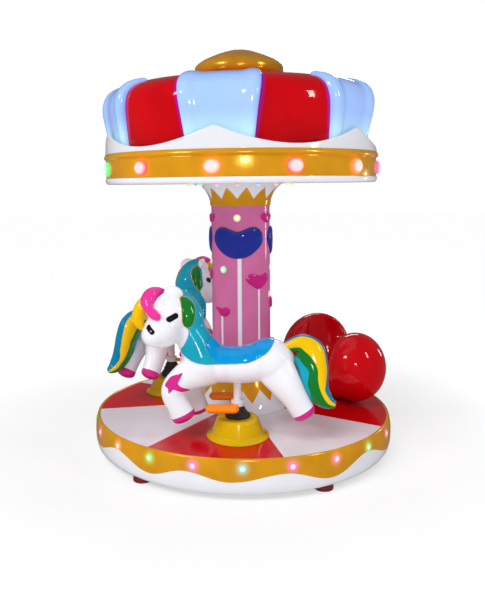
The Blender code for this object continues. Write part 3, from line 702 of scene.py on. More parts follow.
def star_frame():
    """Square arms welded to a hub, with softened edges."""
    points = []
    for i in range(FEET):
        a = arm_turn(i)
        along = Vector((cos(a), sin(a)))
        side = Vector((-sin(a), cos(a)))
        for p in (along * ARM_REACH - side * ARM_HALF, along * ARM_REACH + side * ARM_HALF):
            points.append((p.x, p.y))
        points.append((HUB_R * cos(a + pi / FEET), HUB_R * sin(a + pi / FEET)))
    bm = bmesh.new()
    face = bm.faces.new([bm.verts.new((x, y, FRAME_LOW)) for x, y in points])
    out = bmesh.ops.extrude_face_region(bm, geom=[face])
    for v in out["geom"]:
        if isinstance(v, bmesh.types.BMVert):
            v.co.z = FRAME_HIGH
    bmesh.ops.recalc_face_normals(bm, faces=bm.faces[:])
    bmesh.ops.bevel(bm, geom=bm.edges[:], offset=0.003, segments=3, profile=0.5, affect="EDGES")
    return bm


for i in range(FEET):
    foot = lathe(rounded(FOOT, 0.0045), 40, closed=False)
    moved(foot, Matrix.Translation((FOOT_R * cos(arm_turn(i)), FOOT_R * sin(arm_turn(i)), 0.0)))
    piece(f"levelling_foot_{i + 1}", foot, "chassis", [foot_coat], [f"foot_{i + 1}"])
spindle = lathe(rounded(SPINDLE, 0.003), 48, closed=False)
piece("turning_spindle", spindle, "chassis", [steel_coat], ["spindle"])
piece("star_frame", star_frame(), "chassis", [steel_coat], ["base_frame"])

# %% [markdown]
# ## The column
# A glass-fibre sleeve hides the mast. It is pink, with a white flared foot that carries a gold ring of
# pointed drops, and a white flared head with a gold collar of pointed flames. Both zigzags are again rows
# of points that follow the points and valleys. The three parts are made one by one because their teeth
# stand at other angles.

# %% Turn the column in three parts
pink_coat = plain_coat("column_pink", srgb(0.83, 0.44, 0.64), gloss=0.09, cloud=0.10)
COLUMN_R = 0.149
SHAFT_LOW = 0.4040
SHAFT_HIGH = 1.2205
TOOTH_STEP = 30.0
TOOTH_ROWS = 10


def teeth(degrees, peak_at, valley_at, peak, valley):
    """Height of a straight-sided zigzag at a bearing."""
    d = (degrees - peak_at) % TOOTH_STEP
    drop = (valley_at - peak_at) % TOOTH_STEP
    share = d / drop if d < drop else (TOOTH_STEP - d) / (TOOTH_STEP - drop)
    return peak + (valley - peak) * share


def on_profile(profile, z):
    """Radius of a profile of (radius, height) at a height."""
    for (r0, z0), (r1, z1) in zip(profile, profile[1:]):
        if z0 <= z <= z1:
            return r0 + (r1 - r0) * (z - z0) / (z1 - z0)
    return profile[-1][0] if z > profile[-1][1] else profile[0][0]


def zigzag_rows(profile, low, high, edge):
    """Rows up a profile from low to the zigzag edge and on to high."""
    made = []
    for a, b in ((low, "edge"), ("edge", high)):
        for k in range(TOOTH_ROWS + 1):
            def row(turn, a=a, b=b, k=k):
                one, two = (edge(bearing(turn)) if h == "edge" else h for h in (a, b))
                z = one + (two - one) * k / TOOTH_ROWS
                return on_profile(profile, z), z
            made.append(row)
    del made[TOOTH_ROWS + 1]
    return made


def foot_edge(degrees):
    return teeth(degrees, 0.0, 15.0, 0.322, 0.2535)


def head_edge(degrees):
    return teeth(degrees, -20.5, -5.5, 1.314, 1.257)


FLARE = smooth_path([(0.235, 0.2060), (0.226, 0.2095), (0.2165, 0.2200), (0.205, 0.240), (0.190, 0.276),
                     (0.174, 0.318), (0.162, 0.345), (0.1555, 0.3600)], 6)
foot_rows = [(0.0, 0.1984), (0.2340, 0.1984), (0.2350, 0.1995), (0.2350, 0.2045)]
# The gold starts one row below the zigzag's own row, so its edge lies a little lower
gold_from = len(foot_rows) + TOOTH_ROWS - 1
foot_rows += zigzag_rows(FLARE, 0.2062, 0.3585, foot_edge)
foot_rows += [(0.1553, 0.370), (0.1553, 0.395), (0.1548, 0.3995), (0.1530, 0.4030), (0.1490, 0.4050),
              (0.0, 0.4050)]
foot_mesh = lathe(foot_rows, 240, radians(-90.0), lambda row, turn: int(row >= gold_from), closed=False)
piece("column_foot", foot_mesh, "rotor", [white_coat, gold_coat], ["column"])

HEAD = smooth_path([(0.1535, 1.2236), (0.1545, 1.236), (0.157, 1.254), (0.170, 1.285), (0.190, 1.312),
                    (0.216, 1.333), (0.238, 1.3405)], 6)
head_rows = [(0.0, 1.2200), (0.1490, 1.2200), (0.1520, 1.2215)]
gold_to = len(head_rows) + TOOTH_ROWS
head_rows += zigzag_rows(HEAD, 1.2236, 1.3405, head_edge)
head_rows += [(0.240, 1.3415), (0.240, 1.3444), (0.0, 1.3444)]
head_mesh = lathe(head_rows, 240, radians(-95.5), lambda row, turn: int(row < gold_to), closed=False)
piece("column_head", head_mesh, "rotor", [white_coat, gold_coat])

shaft_rows = [(COLUMN_R, SHAFT_LOW + (SHAFT_HIGH - SHAFT_LOW) * k / 12) for k in range(13)]
shaft_mesh = lathe([(0.0, SHAFT_LOW)] + shaft_rows + [(0.0, SHAFT_HIGH)], 180, closed=False)
piece("column_shaft", shaft_mesh, "rotor", [pink_coat])

# %% [markdown]
# ## Hearts on sticks
# Hearts stand proud of the column like cushions: three big blue ones round its top, each on a white stick
# that runs down to the foot, and small magenta ones between, of which a few stand on slimmer sticks. A
# heart is a soft outline, bent round the column and raised in rings, so its middle is plump and its rim
# rolls into the column.

# %% Outlines of the hearts and sticks
KIDNEY = [(0.0, 0.70), (0.48, 0.98), (0.80, 0.88), (1.0, 0.36), (0.90, -0.15), (0.64, -0.58),
          (0.33, -0.90), (0.0, -1.0), (-0.33, -0.90), (-0.64, -0.58), (-0.90, -0.15), (-1.0, 0.36),
          (-0.80, 0.88), (-0.48, 0.98)]
WINGED = [(-1.0, 0.45), (-0.74, 0.95), (-0.35, 0.94), (0.02, 0.77), (0.19, 0.72), (0.40, 0.84),
          (0.66, 1.0), (0.90, 0.78), (1.0, 0.28), (0.67, -0.40), (0.03, -1.0), (-0.38, -0.74),
          (-0.72, -0.33), (-0.95, 0.06)]
POINTED = [(-1.0, 0.92), (-0.55, 0.84), (0.0, 0.70), (0.35, 0.94), (0.75, 0.95), (1.0, 0.55), (0.95, -0.2),
           (0.65, -0.75), (0.31, -1.0), (-0.10, -0.88), (-0.35, -0.42), (-0.68, 0.25)]
PLUMP = [(0.0, 0.62), (0.40, 0.98), (0.80, 0.90), (1.0, 0.40), (0.80, -0.25), (0.35, -0.85), (0.0, -1.0),
         (-0.35, -0.85), (-0.80, -0.25), (-1.0, 0.40), (-0.80, 0.90), (-0.40, 0.98)]
HEART_SUNK = 0.006
# Share of the outline and of the thickness, from the rim to the middle
HEART_RINGS = [(1.0, 0.10), (0.985, 0.30), (0.95, 0.50), (0.89, 0.68), (0.80, 0.82), (0.66, 0.92),
               (0.48, 0.98), (0.26, 1.0)]
STICK_LOW = 0.400
STICK_PROUD = 0.0016
STICK_STEPS = 28
# Share of the half width and of the height of a stick's rounded face
STICK_SECTION = [(-1.0, -1.0), (-1.0, 0.35), (-0.86, 0.82), (-0.5, 1.0), (0.5, 1.0), (0.86, 0.82),
                 (1.0, 0.35), (1.0, -1.0)]
print("points on a big heart:", len(KIDNEY), "and rings:", len(HEART_RINGS))

# %% [markdown]
# ## Rings joined by hand
# Hearts and sticks aren't turned on a lathe. Their points stand in rings, one inside or after the other,
# and small helpers join each ring to the next and close the last one round a single point.

# %% Build the hearts and sticks


def bridge(bm, rings, finishes=None):
    """Joins neighbouring rings of points. A finish can be given for each face round a ring."""
    for a, b in zip(rings, rings[1:]):
        for i in range(len(a)):
            j = (i + 1) % len(a)
            face = bm.faces.new((a[i], a[j], b[j], b[i]))
            if finishes:
                face.material_index = finishes[i]


def fan(bm, ring, tip, finishes=None):
    """Joins a ring to one point."""
    for i in range(len(ring)):
        face = bm.faces.new((ring[i], ring[(i + 1) % len(ring)], tip))
        if finishes:
            face.material_index = finishes[i]


def add(bm, other):
    """Adds the faces of another mesh to this one, with their finishes."""
    verts = {v: bm.verts.new(v.co) for v in other.verts}
    for f in other.faces:
        bm.faces.new([verts[v] for v in f.verts]).material_index = f.material_index
    other.free()
    return bm


def heart(angle, height, half, tall, thick, outline):
    """A plump heart bent round the column. The half width is measured along the column's surface."""
    bm = bmesh.new()
    points = soft_outline(outline, 5)
    rings = []
    for grow, out in [(1.0, -HEART_SUNK)] + [(grow, rise * thick) for grow, rise in HEART_RINGS]:
        ring = []
        for x, y in points:
            arc = angle + x * grow * half / COLUMN_R
            radius = COLUMN_R + out
            ring.append(bm.verts.new((radius * cos(arc), radius * sin(arc), height + y * grow * tall)))
        rings.append(ring)
    bridge(bm, rings)
    for ring, radius in ((rings[0], COLUMN_R - HEART_SUNK), (rings[-1], COLUMN_R + thick)):
        fan(bm, ring, bm.verts.new((radius * cos(angle), radius * sin(angle), height)))
    return bm


def stick(angle, high, width):
    """A slim raised strip down the column with a rounded face."""
    bm = bmesh.new()
    rings = []
    for k in range(STICK_STEPS + 1):
        z = STICK_LOW + (high - STICK_LOW) * k / STICK_STEPS
        ring = []
        for u, share in STICK_SECTION:
            arc = angle + u * width / 2 / COLUMN_R
            radius = COLUMN_R + share * STICK_PROUD
            ring.append(bm.verts.new((radius * cos(arc), radius * sin(arc), z)))
        rings.append(ring)
    bridge(bm, rings)
    bm.faces.new(rings[0])
    bm.faces.new(rings[-1])
    return bm


# Angle from the front, height, half width, half height, outline and whether it stands on a stick
SMALL_HEARTS = [(36.7, 0.8467, 0.0692, 0.0392, WINGED, True),
                (-39.3, 0.6943, 0.0455, 0.0233, POINTED, True),
                (60.5, 1.1605, 0.0480, 0.0250, PLUMP, False),
                (-75.0, 1.1605, 0.0420, 0.0230, PLUMP, False),
                (91.0, 0.7250, 0.0440, 0.0290, PLUMP, False),
                (-88.0, 0.8700, 0.0480, 0.0270, PLUMP, False),
                (148.0, 0.8600, 0.0692, 0.0392, WINGED, True),
                (-168.0, 0.7300, 0.0455, 0.0233, POINTED, True),
                (176.0, 1.1605, 0.0480, 0.0250, PLUMP, False),
                (-140.0, 0.8300, 0.0560, 0.0340, PLUMP, True)]
sticks = bmesh.new()
small_hearts = bmesh.new()
for third in range(3):
    angle = radians(-96.0 + 120.0 * third)
    big = heart(angle, 1.0405, 0.1395, 0.0785, 0.0155, KIDNEY)
    piece(f"blue_heart_{third + 1}", big, "rotor", [heart_blue_coat], [f"heart_{third + 1}"])
    add(sticks, stick(angle + radians(3.5), 0.975, 0.0200))
for at, height, half, tall, outline, has_stick in SMALL_HEARTS:
    angle = radians(-90.0 + at)
    add(small_hearts, heart(angle, height, half, tall, 0.0105, outline))
    if has_stick:
        add(sticks, stick(angle, height - tall * 0.8, 0.0115))
piece("white_sticks", sticks, "rotor", [white_coat])
piece("magenta_hearts", small_hearts, "rotor", [heart_pink_coat])

# %% [markdown]
# ## The canopy
# From below, the canopy is a white tray with a rolled rim, a gold band with a lip and a groove, and a
# white wavy fascia that hides the foot of the crown. All of it is turned, and only the fascia's top edge
# changes with the angle: six low points and six peaks, a little like icing.

# %% Turn the tray, band and fascia
TRAY = [(0.0, 1.3450), (0.606, 1.3450), (0.632, 1.3418), (0.646, 1.3365), (0.657, 1.3335),
        (0.668, 1.3338), (0.6755, 1.3400), (0.6790, 1.3480), (0.6795, 1.3540), (0.6780, 1.3600),
        (0.6770, 1.3611), (0.0, 1.3611)]
tray_rows = TRAY[:2] + smooth_path(TRAY[2:-1], 4) + TRAY[-1:]
tray_mesh = lathe(tray_rows, 240, closed=False)
piece("canopy_tray_skin", tray_mesh, "rotor", [white_coat], ["canopy_tray"])
BAND = [(0.0, 1.3615), (0.6750, 1.3615), (0.6750, 1.4480), (0.6742, 1.4500), (0.6765, 1.4520),
        (0.6815, 1.4545), (0.6848, 1.4590), (0.6852, 1.4640), (0.6835, 1.4700), (0.6805, 1.4745),
        (0.6790, 1.4786), (0.0, 1.4786)]
band_mesh = lathe(rounded(BAND, 0.003), 264, closed=False)
piece("canopy_band_skin", band_mesh, "rotor", [band_gold], ["canopy_band"])

FASCIA_PHASE = radians(-99.4)
FASCIA_FOOT = 1.4790
FASCIA_LOW = 1.499
FASCIA_RISE = 0.085
FASCIA_EDGE = [(0.6760, 0.0036), (0.6750, 0.0012), (0.6732, 0.0), (0.6698, 0.0), (0.6680, 0.0010),
               (0.6670, 0.0034)]


def fascia_top(turn):
    """Height of the wavy edge: sharp peaks and broad low curves."""
    swing = abs(sin(3.0 * (turn - FASCIA_PHASE)))
    soft = (swing ** 2 + 0.0030) ** 0.42
    return FASCIA_LOW + FASCIA_RISE * (1.0 - soft)


def fascia_edge(radius, drop):
    return lambda turn: (radius, fascia_top(turn) - drop)


def fascia_wall(share):
    """A row of the outer wall, from its foot up to just under the rounded edge."""
    def row(turn):
        top = fascia_top(turn) - 0.006
        return 0.6785 - 0.0022 * share, FASCIA_FOOT + (top - FASCIA_FOOT) * share
    return row


fascia_rows = [(0.6670, FASCIA_FOOT), (0.6780, FASCIA_FOOT), (0.6785, FASCIA_FOOT + 0.0006)]
fascia_rows += [fascia_wall(k / 8) for k in range(9)]
fascia_rows += [fascia_edge(radius, drop) for radius, drop in FASCIA_EDGE]
fascia_coat = plain_coat("fascia_white", srgb(0.86, 0.86, 0.885), gloss=0.08, cloud=0.03)
fascia_mesh = lathe(fascia_rows, 360, FASCIA_PHASE)
piece("wavy_fascia", fascia_mesh, "rotor", [fascia_coat], ["canopy_fascia"])

# %% [markdown]
# ## The crown
# The crown is a red dome with six translucent lobes over it, lit from inside, and a gold cushion on top.
# Light leaks where a lobe meets the red, so the red turns purple along that line, except on the flat top.
# The dome is turned, with its curve smoothed through a few points.

# %% Turn the crown's body
CROWN_LOW = 1.4790
CROWN_TOP = 1.8100
CROWN_OUT = [(0.622, CROWN_LOW), (0.631, 1.535), (0.643, 1.608), (0.652, 1.670), (0.653, 1.716),
             (0.640, 1.758), (0.607, 1.789), (0.555, CROWN_TOP)]
CROWN_CURVE = smooth_path(CROWN_OUT, 7)
LOBES = 6
LOBE_STEP = 2 * pi / LOBES
LOBE_PHASE = radians(-98.0)
LOBE_HALF = radians(13.3)
LOBE_SPREAD = radians(4.2)
LOBE_RISE = 0.033
LOBE_GAP = 0.0004


def glow_red():
    """Red gel coat that takes a purple glow along the lobes."""
    paint, base, where = gel_coat("crown_red", srgb(0.77, 0.0, 0.045), gloss=0.07, cloud=0.14)
    x, y, z = paint.axes(where)
    share = (y.arctan2(x) - LOBE_PHASE) * (1.0 / LOBE_STEP)
    off = abs((share - (share + 0.5).floor()) * LOBE_STEP)
    half = LOBE_HALF + LOBE_SPREAD * ((z - CROWN_LOW) * (1.0 / (CROWN_TOP - CROWN_LOW)))
    edge = (1.0 - (off - half).smooth_steps(0.0, radians(1.5))) * (1.0 - z.smooth_steps(1.806, 1.822))
    paint.put("Base Color", paint.mix(edge * 0.5, base, srgb(0.52, 0.05, 0.55)))
    paint.put("Emission Color", paint.mix(edge, BLACK, srgb(0.40, 0.12, 0.80)))
    paint.put("Emission Strength", 0.22)
    return paint


crown_red = glow_red()
dome_top = smooth_path([(0.555, CROWN_TOP), (0.417, 1.827), (0.232, 1.845), (0.10, 1.8505),
                        (0.0, 1.8516)], 5)
dome_mesh = lathe([(0.0, CROWN_LOW)] + CROWN_CURVE + dome_top[1:], 240, LOBE_PHASE, closed=False)
piece("crown_dome", dome_mesh, "rotor", [crown_red], ["crown_body"])

# %% [markdown]
# ## Lobes and cushion
# A lobe follows the dome's outline, stands proud of it, and has a ridge down each side and a shallow
# trough between. It is a skin of its own over the dome, because its pale, lit plastic needs another finish
# and its edges roll down into the red.

# %% Build the lobes and the cushion


def lobe_glow():
    """Milky plastic that is lit from inside: bluer on top, nearly white and green-blue at the foot."""
    paint = Finish("lobe_ice")
    where = paint.place()
    x, y, z = paint.axes(where)
    height = z.smooth_steps(1.49, 1.66)
    drift = paint.noise(where, 5.0, 2.0).smooth_steps(0.35, 0.65)
    foot = srgb(0.78, 0.98, 1.0)
    top = paint.mix(drift, srgb(0.52, 0.70, 1.0), srgb(0.66, 0.74, 1.0))
    paint.put("Base Color", paint.mix(height, srgb(0.74, 0.91, 0.97), srgb(0.58, 0.71, 0.93)))
    paint.put("Emission Color", paint.mix(height, foot, top))
    paint.put("Emission Strength", 0.20)
    paint.put("Roughness", 0.12 + 0.08 * paint.noise(where, 18.0, 3.0))
    paint.bump(paint.noise(where, 12.0, 1.0), 0.4, 0.002)
    paint.put("Coat Weight", 0.5)
    paint.put("Coat Roughness", 0.04)
    return paint


lobe_coat = lobe_glow()
# How proud a lobe stands from its foot to its top, and across: two ridges with a trough between
SWELL = [0.52, 0.70, 0.88, 1.0, 1.0, 0.88, 0.66, 0.46]
ACROSS = [(-1.0, 0.0), (-0.985, 0.42), (-0.94, 0.80), (-0.86, 1.0), (-0.76, 0.98), (-0.66, 0.82),
          (-0.56, 0.55), (-0.46, 0.43), (-0.25, 0.40), (0.0, 0.40), (0.25, 0.40), (0.46, 0.43),
          (0.56, 0.55), (0.66, 0.82), (0.76, 0.98), (0.86, 1.0), (0.94, 0.80), (0.985, 0.42), (1.0, 0.0)]
# What is left of the height over the rolled top edge, and how far that has gone inwards
LOBE_ROLL = [(0.92, 0.003), (0.72, 0.0062), (0.40, 0.0085), (0.0, 0.0095)]


def swell_at(share):
    place = share * (len(SWELL) - 1)
    i = min(int(place), len(SWELL) - 2)
    return SWELL[i] + (SWELL[i + 1] - SWELL[i]) * (place - i)


def lobe(mid):
    """A skin over the dome with two ridges and a trough, rolled over at its top edge."""
    across = smooth_path(ACROSS, 3)
    bm = bmesh.new()
    rows = []
    last = len(CROWN_CURVE) - 1
    for j, (radius, height) in enumerate(CROWN_CURVE):
        before = CROWN_CURVE[max(j - 1, 0)]
        after = CROWN_CURVE[min(j + 1, last)]
        dr, dz = after[0] - before[0], after[1] - before[1]
        size = hypot(dr, dz)
        nr, nz = dz / size, -dr / size
        rise = LOBE_RISE * swell_at(j / last)
        width = LOBE_HALF + LOBE_SPREAD * (j / last)
        row = []
        for u, share in across:
            a = mid + u * width
            r = radius + nr * (rise * share + LOBE_GAP)
            z = height + (nz * rise * share if j else LOBE_GAP)
            row.append(bm.verts.new((r * cos(a), r * sin(a), z)))
        rows.append(row)
    # The roll starts from the last row's place, slope and rise
    for fall, back in LOBE_ROLL:
        row = []
        for u, share in across:
            a = mid + u * width
            r = radius + nr * rise * share * fall - nz * back
            z = height + nz * rise * share * fall + nr * back + LOBE_GAP / 2
            row.append(bm.verts.new((r * cos(a), r * sin(a), z)))
        rows.append(row)
    for a, b in zip(rows, rows[1:]):
        for i in range(len(across) - 1):
            bm.faces.new((a[i], a[i + 1], b[i + 1], b[i]))
    return bm


for k in range(LOBES):
    skin = lobe(LOBE_PHASE + LOBE_STEP * k)
    piece(f"ice_lobe_{k + 1}", skin, "rotor", [lobe_coat], [f"crown_lobe_{k + 1}"], crisp=70.0)

CUSHION_LOW = 1.8520
CUSHION = smooth_path([(0.160, CUSHION_LOW), (0.186, 1.8572), (0.205, 1.868), (0.219, 1.882),
                       (0.2243, 1.903), (0.219, 1.922), (0.186, 1.947), (0.136, 1.970), (0.080, 1.991),
                       (0.034, 2.0025), (0.012, 2.0056), (0.0, 2.0060)], 5)
cushion = lathe([(0.0, CUSHION_LOW)] + CUSHION, 144, closed=False)
piece("gold_cushion", cushion, "rotor", [cap_coat], ["crown_cap"])

# %% [markdown]
# ## The lamps
# Every lamp is a low dome with an attribute called rim, 0 in its middle and 1 at its edge. One finish for
# each colour reads it: the middle is pale and the edge has the full colour.

# %% Finishes for the lamps


def lamp_finish(name, colour):
    """A lit lens: pale in the middle, coloured at the edge."""
    paint = Finish("lamp_" + name)
    rim = paint.node("ShaderNodeAttribute", {"attribute_name": "rim"}, output=2)
    pale = tuple(0.64 + 0.36 * c for c in colour)
    paint.put("Base Color", (0.12, 0.12, 0.12))
    paint.put("Emission Color", paint.mix(rim.smooth_steps(0.55, 1.0), pale, colour))
    paint.put("Emission Strength", 1.0)
    paint.put("Roughness", 0.12)
    return paint


LAMP_NAMES = sorted(LAMP_COLOURS)
lamp_finishes = [lamp_finish(name, LAMP_COLOURS[name]) for name in LAMP_NAMES]
bezel_coat = plain_coat("lamp_bezel", srgb(0.86, 0.87, 0.88), gloss=0.12, cloud=0.02)
# Share of the width, share of the height and value of rim, from the middle out
LAMP_SHAPE = [(0.15, 0.99, 0.0), (0.40, 0.93, 0.40), (0.62, 0.80, 0.62), (0.80, 0.60, 0.80),
              (0.92, 0.38, 0.92), (1.0, 0.10, 1.0), (1.0, -0.15, 1.0)]


def dome(bm, matrix, size, proud, colour, bezel=0.0, sides=28):
    """Adds a lamp that looks along its own x axis. With a bezel it gets a thin white ring."""
    rim = bm.verts.layers.float.get("rim") or bm.verts.layers.float.new("rim")

    def hoop(grow, out):
        ring = []
        for i in range(sides):
            a = 2 * pi * i / sides
            spot = Vector((out, size[0] * grow * cos(a), size[1] * grow * sin(a)))
            ring.append(bm.verts.new(matrix @ spot))
        return ring

    rings = []
    for grow, rise, share in LAMP_SHAPE:
        rings.append(hoop(grow, rise * proud))
        for v in rings[-1]:
            v[rim] = share
    finishes = [LAMP_NAMES.index(colour)] * sides
    fan(bm, rings[0], bm.verts.new(matrix @ Vector((proud, 0.0, 0.0))), finishes)
    bridge(bm, rings, finishes)
    bm.faces.new(rings[-1]).material_index = finishes[0]
    if bezel:
        hoops = []
        for k in range(9):
            b = 2 * pi * k / 8
            grow = 1.0 + bezel * (1.0 + cos(b)) / size[0] * 0.5
            hoops.append(hoop(grow, 0.10 * proud + bezel * 0.5 * sin(b)))
        bridge(bm, hoops, [len(LAMP_NAMES)] * sides)


def on_wall(turn, radius, height, tip=0.0):
    """Place of a lamp on an upright wall, looking outward, tipped up by some degrees."""
    turned = Matrix.Rotation(turn, 4, "Z")
    return turned @ Matrix.Translation((radius, 0.0, height)) @ Matrix.Rotation(radians(-tip), 4, "Y")


def lamp_piece(name, bm):
    """A piece of lamps with one finish for each colour and one for the rims."""
    return piece(name, bm, "rotor", lamp_finishes + [bezel_coat])


print("lamp finishes:", ", ".join(LAMP_NAMES))

# %% [markdown]
# ## Rings of lamps
# The canopy's band carries large lamps that are a little wider than they are tall. Small round ones follow
# the skirt and tip up slightly, a few with white rims dot the column, and a ring of them hangs under the
# canopy round the column's head, a little below the tray's rim, so that they show from the front. The
# lamps of a ring are one piece.

# %% Set the lamps
# Angle from the front, height and colour
COLUMN_LAMPS = [(-6.5, 1.1629, "yellow"), (-35.4, 0.9059, "green"), (72.1, 0.7729, "amber"),
                (-82.0, 0.9400, "yellow"), (80.0, 0.9073, "yellow"), (118.0, 1.1629, "yellow"),
                (-122.0, 1.1629, "yellow"), (158.0, 0.7400, "amber"), (-170.0, 0.9059, "green"),
                (-118.0, 0.7600, "amber")]
UNDER_LAMPS = ["red", "sky", "pink", "yellow", "green", "magenta", "red", "sky",
               "pink", "amber", "green", "sky", "pink", "yellow", "green", "magenta"]
UNDER_PHASE = radians(-93.0)
UNDER_R = 0.261
TRAY_UNDER_Z = 1.3452


def ring_lamps(ring, sunk, tip, size, proud, sides):
    """The lamps of a ring, sunk a little into the gold that carries them."""
    bm = bmesh.new()
    for i, colour in enumerate(ring.colours):
        turn = ring.phase + 2 * pi * i / len(ring.colours)
        dome(bm, on_wall(turn, ring.radius - sunk, ring.height, tip), size, proud, colour, sides=sides)
    return bm


band_lamps = ring_lamps(BAND_RING, 0.0005, 0.0, (0.0400, 0.0335), 0.0235, 40)
lamp_piece("band_lamps", band_lamps)
floor_lamps = ring_lamps(FLOOR_RING, 0.0022, 4.0, (0.0150, 0.0150), 0.0060, 28)
lamp_piece("floor_lamps", floor_lamps)

column_lamps = bmesh.new()
for at, height, colour in COLUMN_LAMPS:
    spot = on_wall(radians(-90.0 + at), COLUMN_R - 0.0005, height)
    dome(column_lamps, spot, (0.0150, 0.0150), 0.0070, colour, 0.0040)
lamp_piece("column_lamps", column_lamps)

hung = Matrix.Translation((UNDER_R, 0.0, TRAY_UNDER_Z)) @ Matrix.Rotation(pi / 2, 4, "Y")
under_lamps = bmesh.new()
for i, colour in enumerate(UNDER_LAMPS):
    turn = UNDER_PHASE + 2 * pi * i / len(UNDER_LAMPS)
    dome(under_lamps, Matrix.Rotation(turn, 4, "Z") @ hung, (0.0135, 0.0135), 0.0260, colour, 0.0025)
lamp_piece("under_canopy_lamps", under_lamps)

# %% [markdown]
# ## Cups, boots, poles and footrests
# Under each pony stands a yellow cup that hides the lift rod. A black rubber boot closes the gap between
# the cup and the pole, so it has to stretch and fold as the pony bobs; here it is stretched to the pony's
# height. The orange footrest is clamped to the pole by a white collar just above the boot.

# %% Sizes of the rides, cups and boots
RIDE_R = 0.460
RIDE_PHASE = radians(-92.5)
POLE_R = 0.018
POLE_LOW = 0.046
POLE_HIGH = 0.300
CUP_H = 0.095
BOOT_LOW = 0.0954
BOOT_TOP = 0.145
BOOT_CELL = 0.004
# Turn of the head to the pony's left in degrees, height above its place, and bend of the neck to its left
Pony = namedtuple("Pony", "name head_turn raised sway")
PONIES = [Pony("front", 40.0, 0.0, 0.0), Pony("rear", -8.0, 0.028, 0.042)]


def ride_place(index):
    """A pony's own frame: x ahead, y to its left, z up from the floor's edge along the pole."""
    angle = RIDE_PHASE - 2 * pi * index / 3
    spot = Matrix.Translation((RIDE_R * cos(angle), RIDE_R * sin(angle), DECK_Z))
    return spot @ Matrix.Rotation(angle - pi / 2, 4, "Z")


def seated(bm):
    """Lets the low edge of a body follow the slope of the floor, fading out 25 to 70 mm above it."""
    for v in bm.verts:
        share = min(1.0, max(0.0, (DECK_Z + 0.070 - v.co.z) / 0.045))
        v.co.z += share * (floor_z(hypot(v.co.x, v.co.y)) - DECK_Z + 0.0004)
    return bm


CUP = [(0.050, CUP_H), (0.050, CUP_H - 0.008), (0.084, CUP_H - 0.011), (0.093, CUP_H - 0.024),
       (0.110, 0.020), (0.116, 0.0), (0.142, 0.0), (0.142, 0.005), (0.131, 0.009), (0.119, 0.020),
       (0.1105, 0.045), (0.101, CUP_H - 0.022), (0.097, CUP_H - 0.008), (0.088, CUP_H), (0.050, CUP_H)]
BOOT = [(0.0188, BOOT_LOW), (0.0560, BOOT_LOW), (0.0580, 0.1020), (0.0535, 0.1085), (0.0500, 0.1125),
        (0.0425, 0.1185), (0.0435, 0.1225), (0.0400, 0.1265), (0.0345, 0.1300), (0.0350, 0.1340),
        (0.0330, 0.1375), (0.0285, 0.1400), (0.0290, 0.1430), (0.0270, 0.1448), (0.0188, 0.1450)]


def boot_mesh(raised):
    """The boot, stretched up to a raised pony, with its outline cut into short steps."""
    stretch = (BOOT_TOP - BOOT_LOW + raised) / (BOOT_TOP - BOOT_LOW)
    outline = [(r, BOOT_LOW + (z - BOOT_LOW) * stretch) for r, z in rounded(BOOT, 0.0035)]
    dense = []
    for a, b in zip(outline, outline[1:]):
        dr, dz = b[0] - a[0], b[1] - a[1]
        parts = max(1, ceil(hypot(dr, dz) / BOOT_CELL))
        dense += [(a[0] + dr * k / parts, a[1] + dz * k / parts) for k in range(parts)]
    return lathe(dense, 64)


print("rides:", ", ".join(pony.name for pony in PONIES))

# %% [markdown]
# ## Tubes along a path
# A footrest is a bent tube with rounded ends. A tube is a row of rings, each set square to the path it
# follows, and the same tools later draw the ponies' legs, locks and tails.

# %% Place the rides


def round_end(bm, ring, near, reach, steps, finishes=None):
    """Closes the end of a tube with a rounded cap. Near is the ring before the last."""
    count = len(ring)
    middle = sum((v.co for v in ring), Vector()) / count
    back = (middle - sum((v.co for v in near), Vector()) / count).normalized()
    rows = [ring]
    for k in range(1, steps):
        turn = 0.5 * pi * k / steps
        shift = back * reach * sin(turn)
        rows.append([bm.verts.new(middle + (v.co - middle) * cos(turn) + shift) for v in ring])
    end = bm.verts.new(middle + back * reach)
    bridge(bm, rows, finishes)
    fan(bm, rows[-1], end, finishes)


def loft(sections, sides, tip):
    """A closed tube through sections of (centre, side vector, up vector), with rounded ends."""
    bm = bmesh.new()
    rings = []
    for centre, side, up in sections:
        ring = []
        for i in range(sides):
            a = 2 * pi * i / sides
            ring.append(bm.verts.new(Vector(centre) + Vector(side) * cos(a) + Vector(up) * sin(a)))
        rings.append(ring)
    bridge(bm, rings)
    for ring, near in ((rings[0], rings[1]), (rings[-1], rings[-2])):
        middle = sum((v.co for v in ring), Vector()) / sides
        round_end(bm, ring, near, max((v.co - middle).length for v in ring) * tip, 6)
    bmesh.ops.recalc_face_normals(bm, faces=bm.faces[:])
    return bm


def frame_along(path, i):
    """The directions inward and across at one point of a path, square to its run."""
    before = Vector(path[max(i - 1, 0)][:3])
    after = Vector(path[min(i + 1, len(path) - 1)][:3])
    along = (after - before).normalized()
    across = Vector((0, 1, 0))
    across = (across - along * across.dot(along)).normalized()
    return along.cross(across).normalized(), across


def tube(points, sides, steps, tip=0.45):
    """A tube through points of (x, y, z, half width in the upright plane, half width across)."""
    path = smooth_path(points, steps)
    sections = []
    for i, (x, y, z, a, b) in enumerate(path):
        up, across = frame_along(path, i)
        sections.append(((x, y, z), up * a, across * b))
    return loft(sections, sides, tip)


# Places along a pedal and the share of its full width there
PEDAL = [(-0.0090, 0.40), (-0.0060, 0.62), (0.0, 0.86), (0.0080, 1.0), (0.063, 1.03), (0.118, 1.0),
         (0.126, 0.86), (0.132, 0.62), (0.135, 0.40)]
PEDAL_SIDE = 0.096
PEDAL_HEIGHT = 0.159
COLLAR_LOW = BOOT_TOP + 0.0010
COLLAR_HIGH = COLLAR_LOW + 0.0273


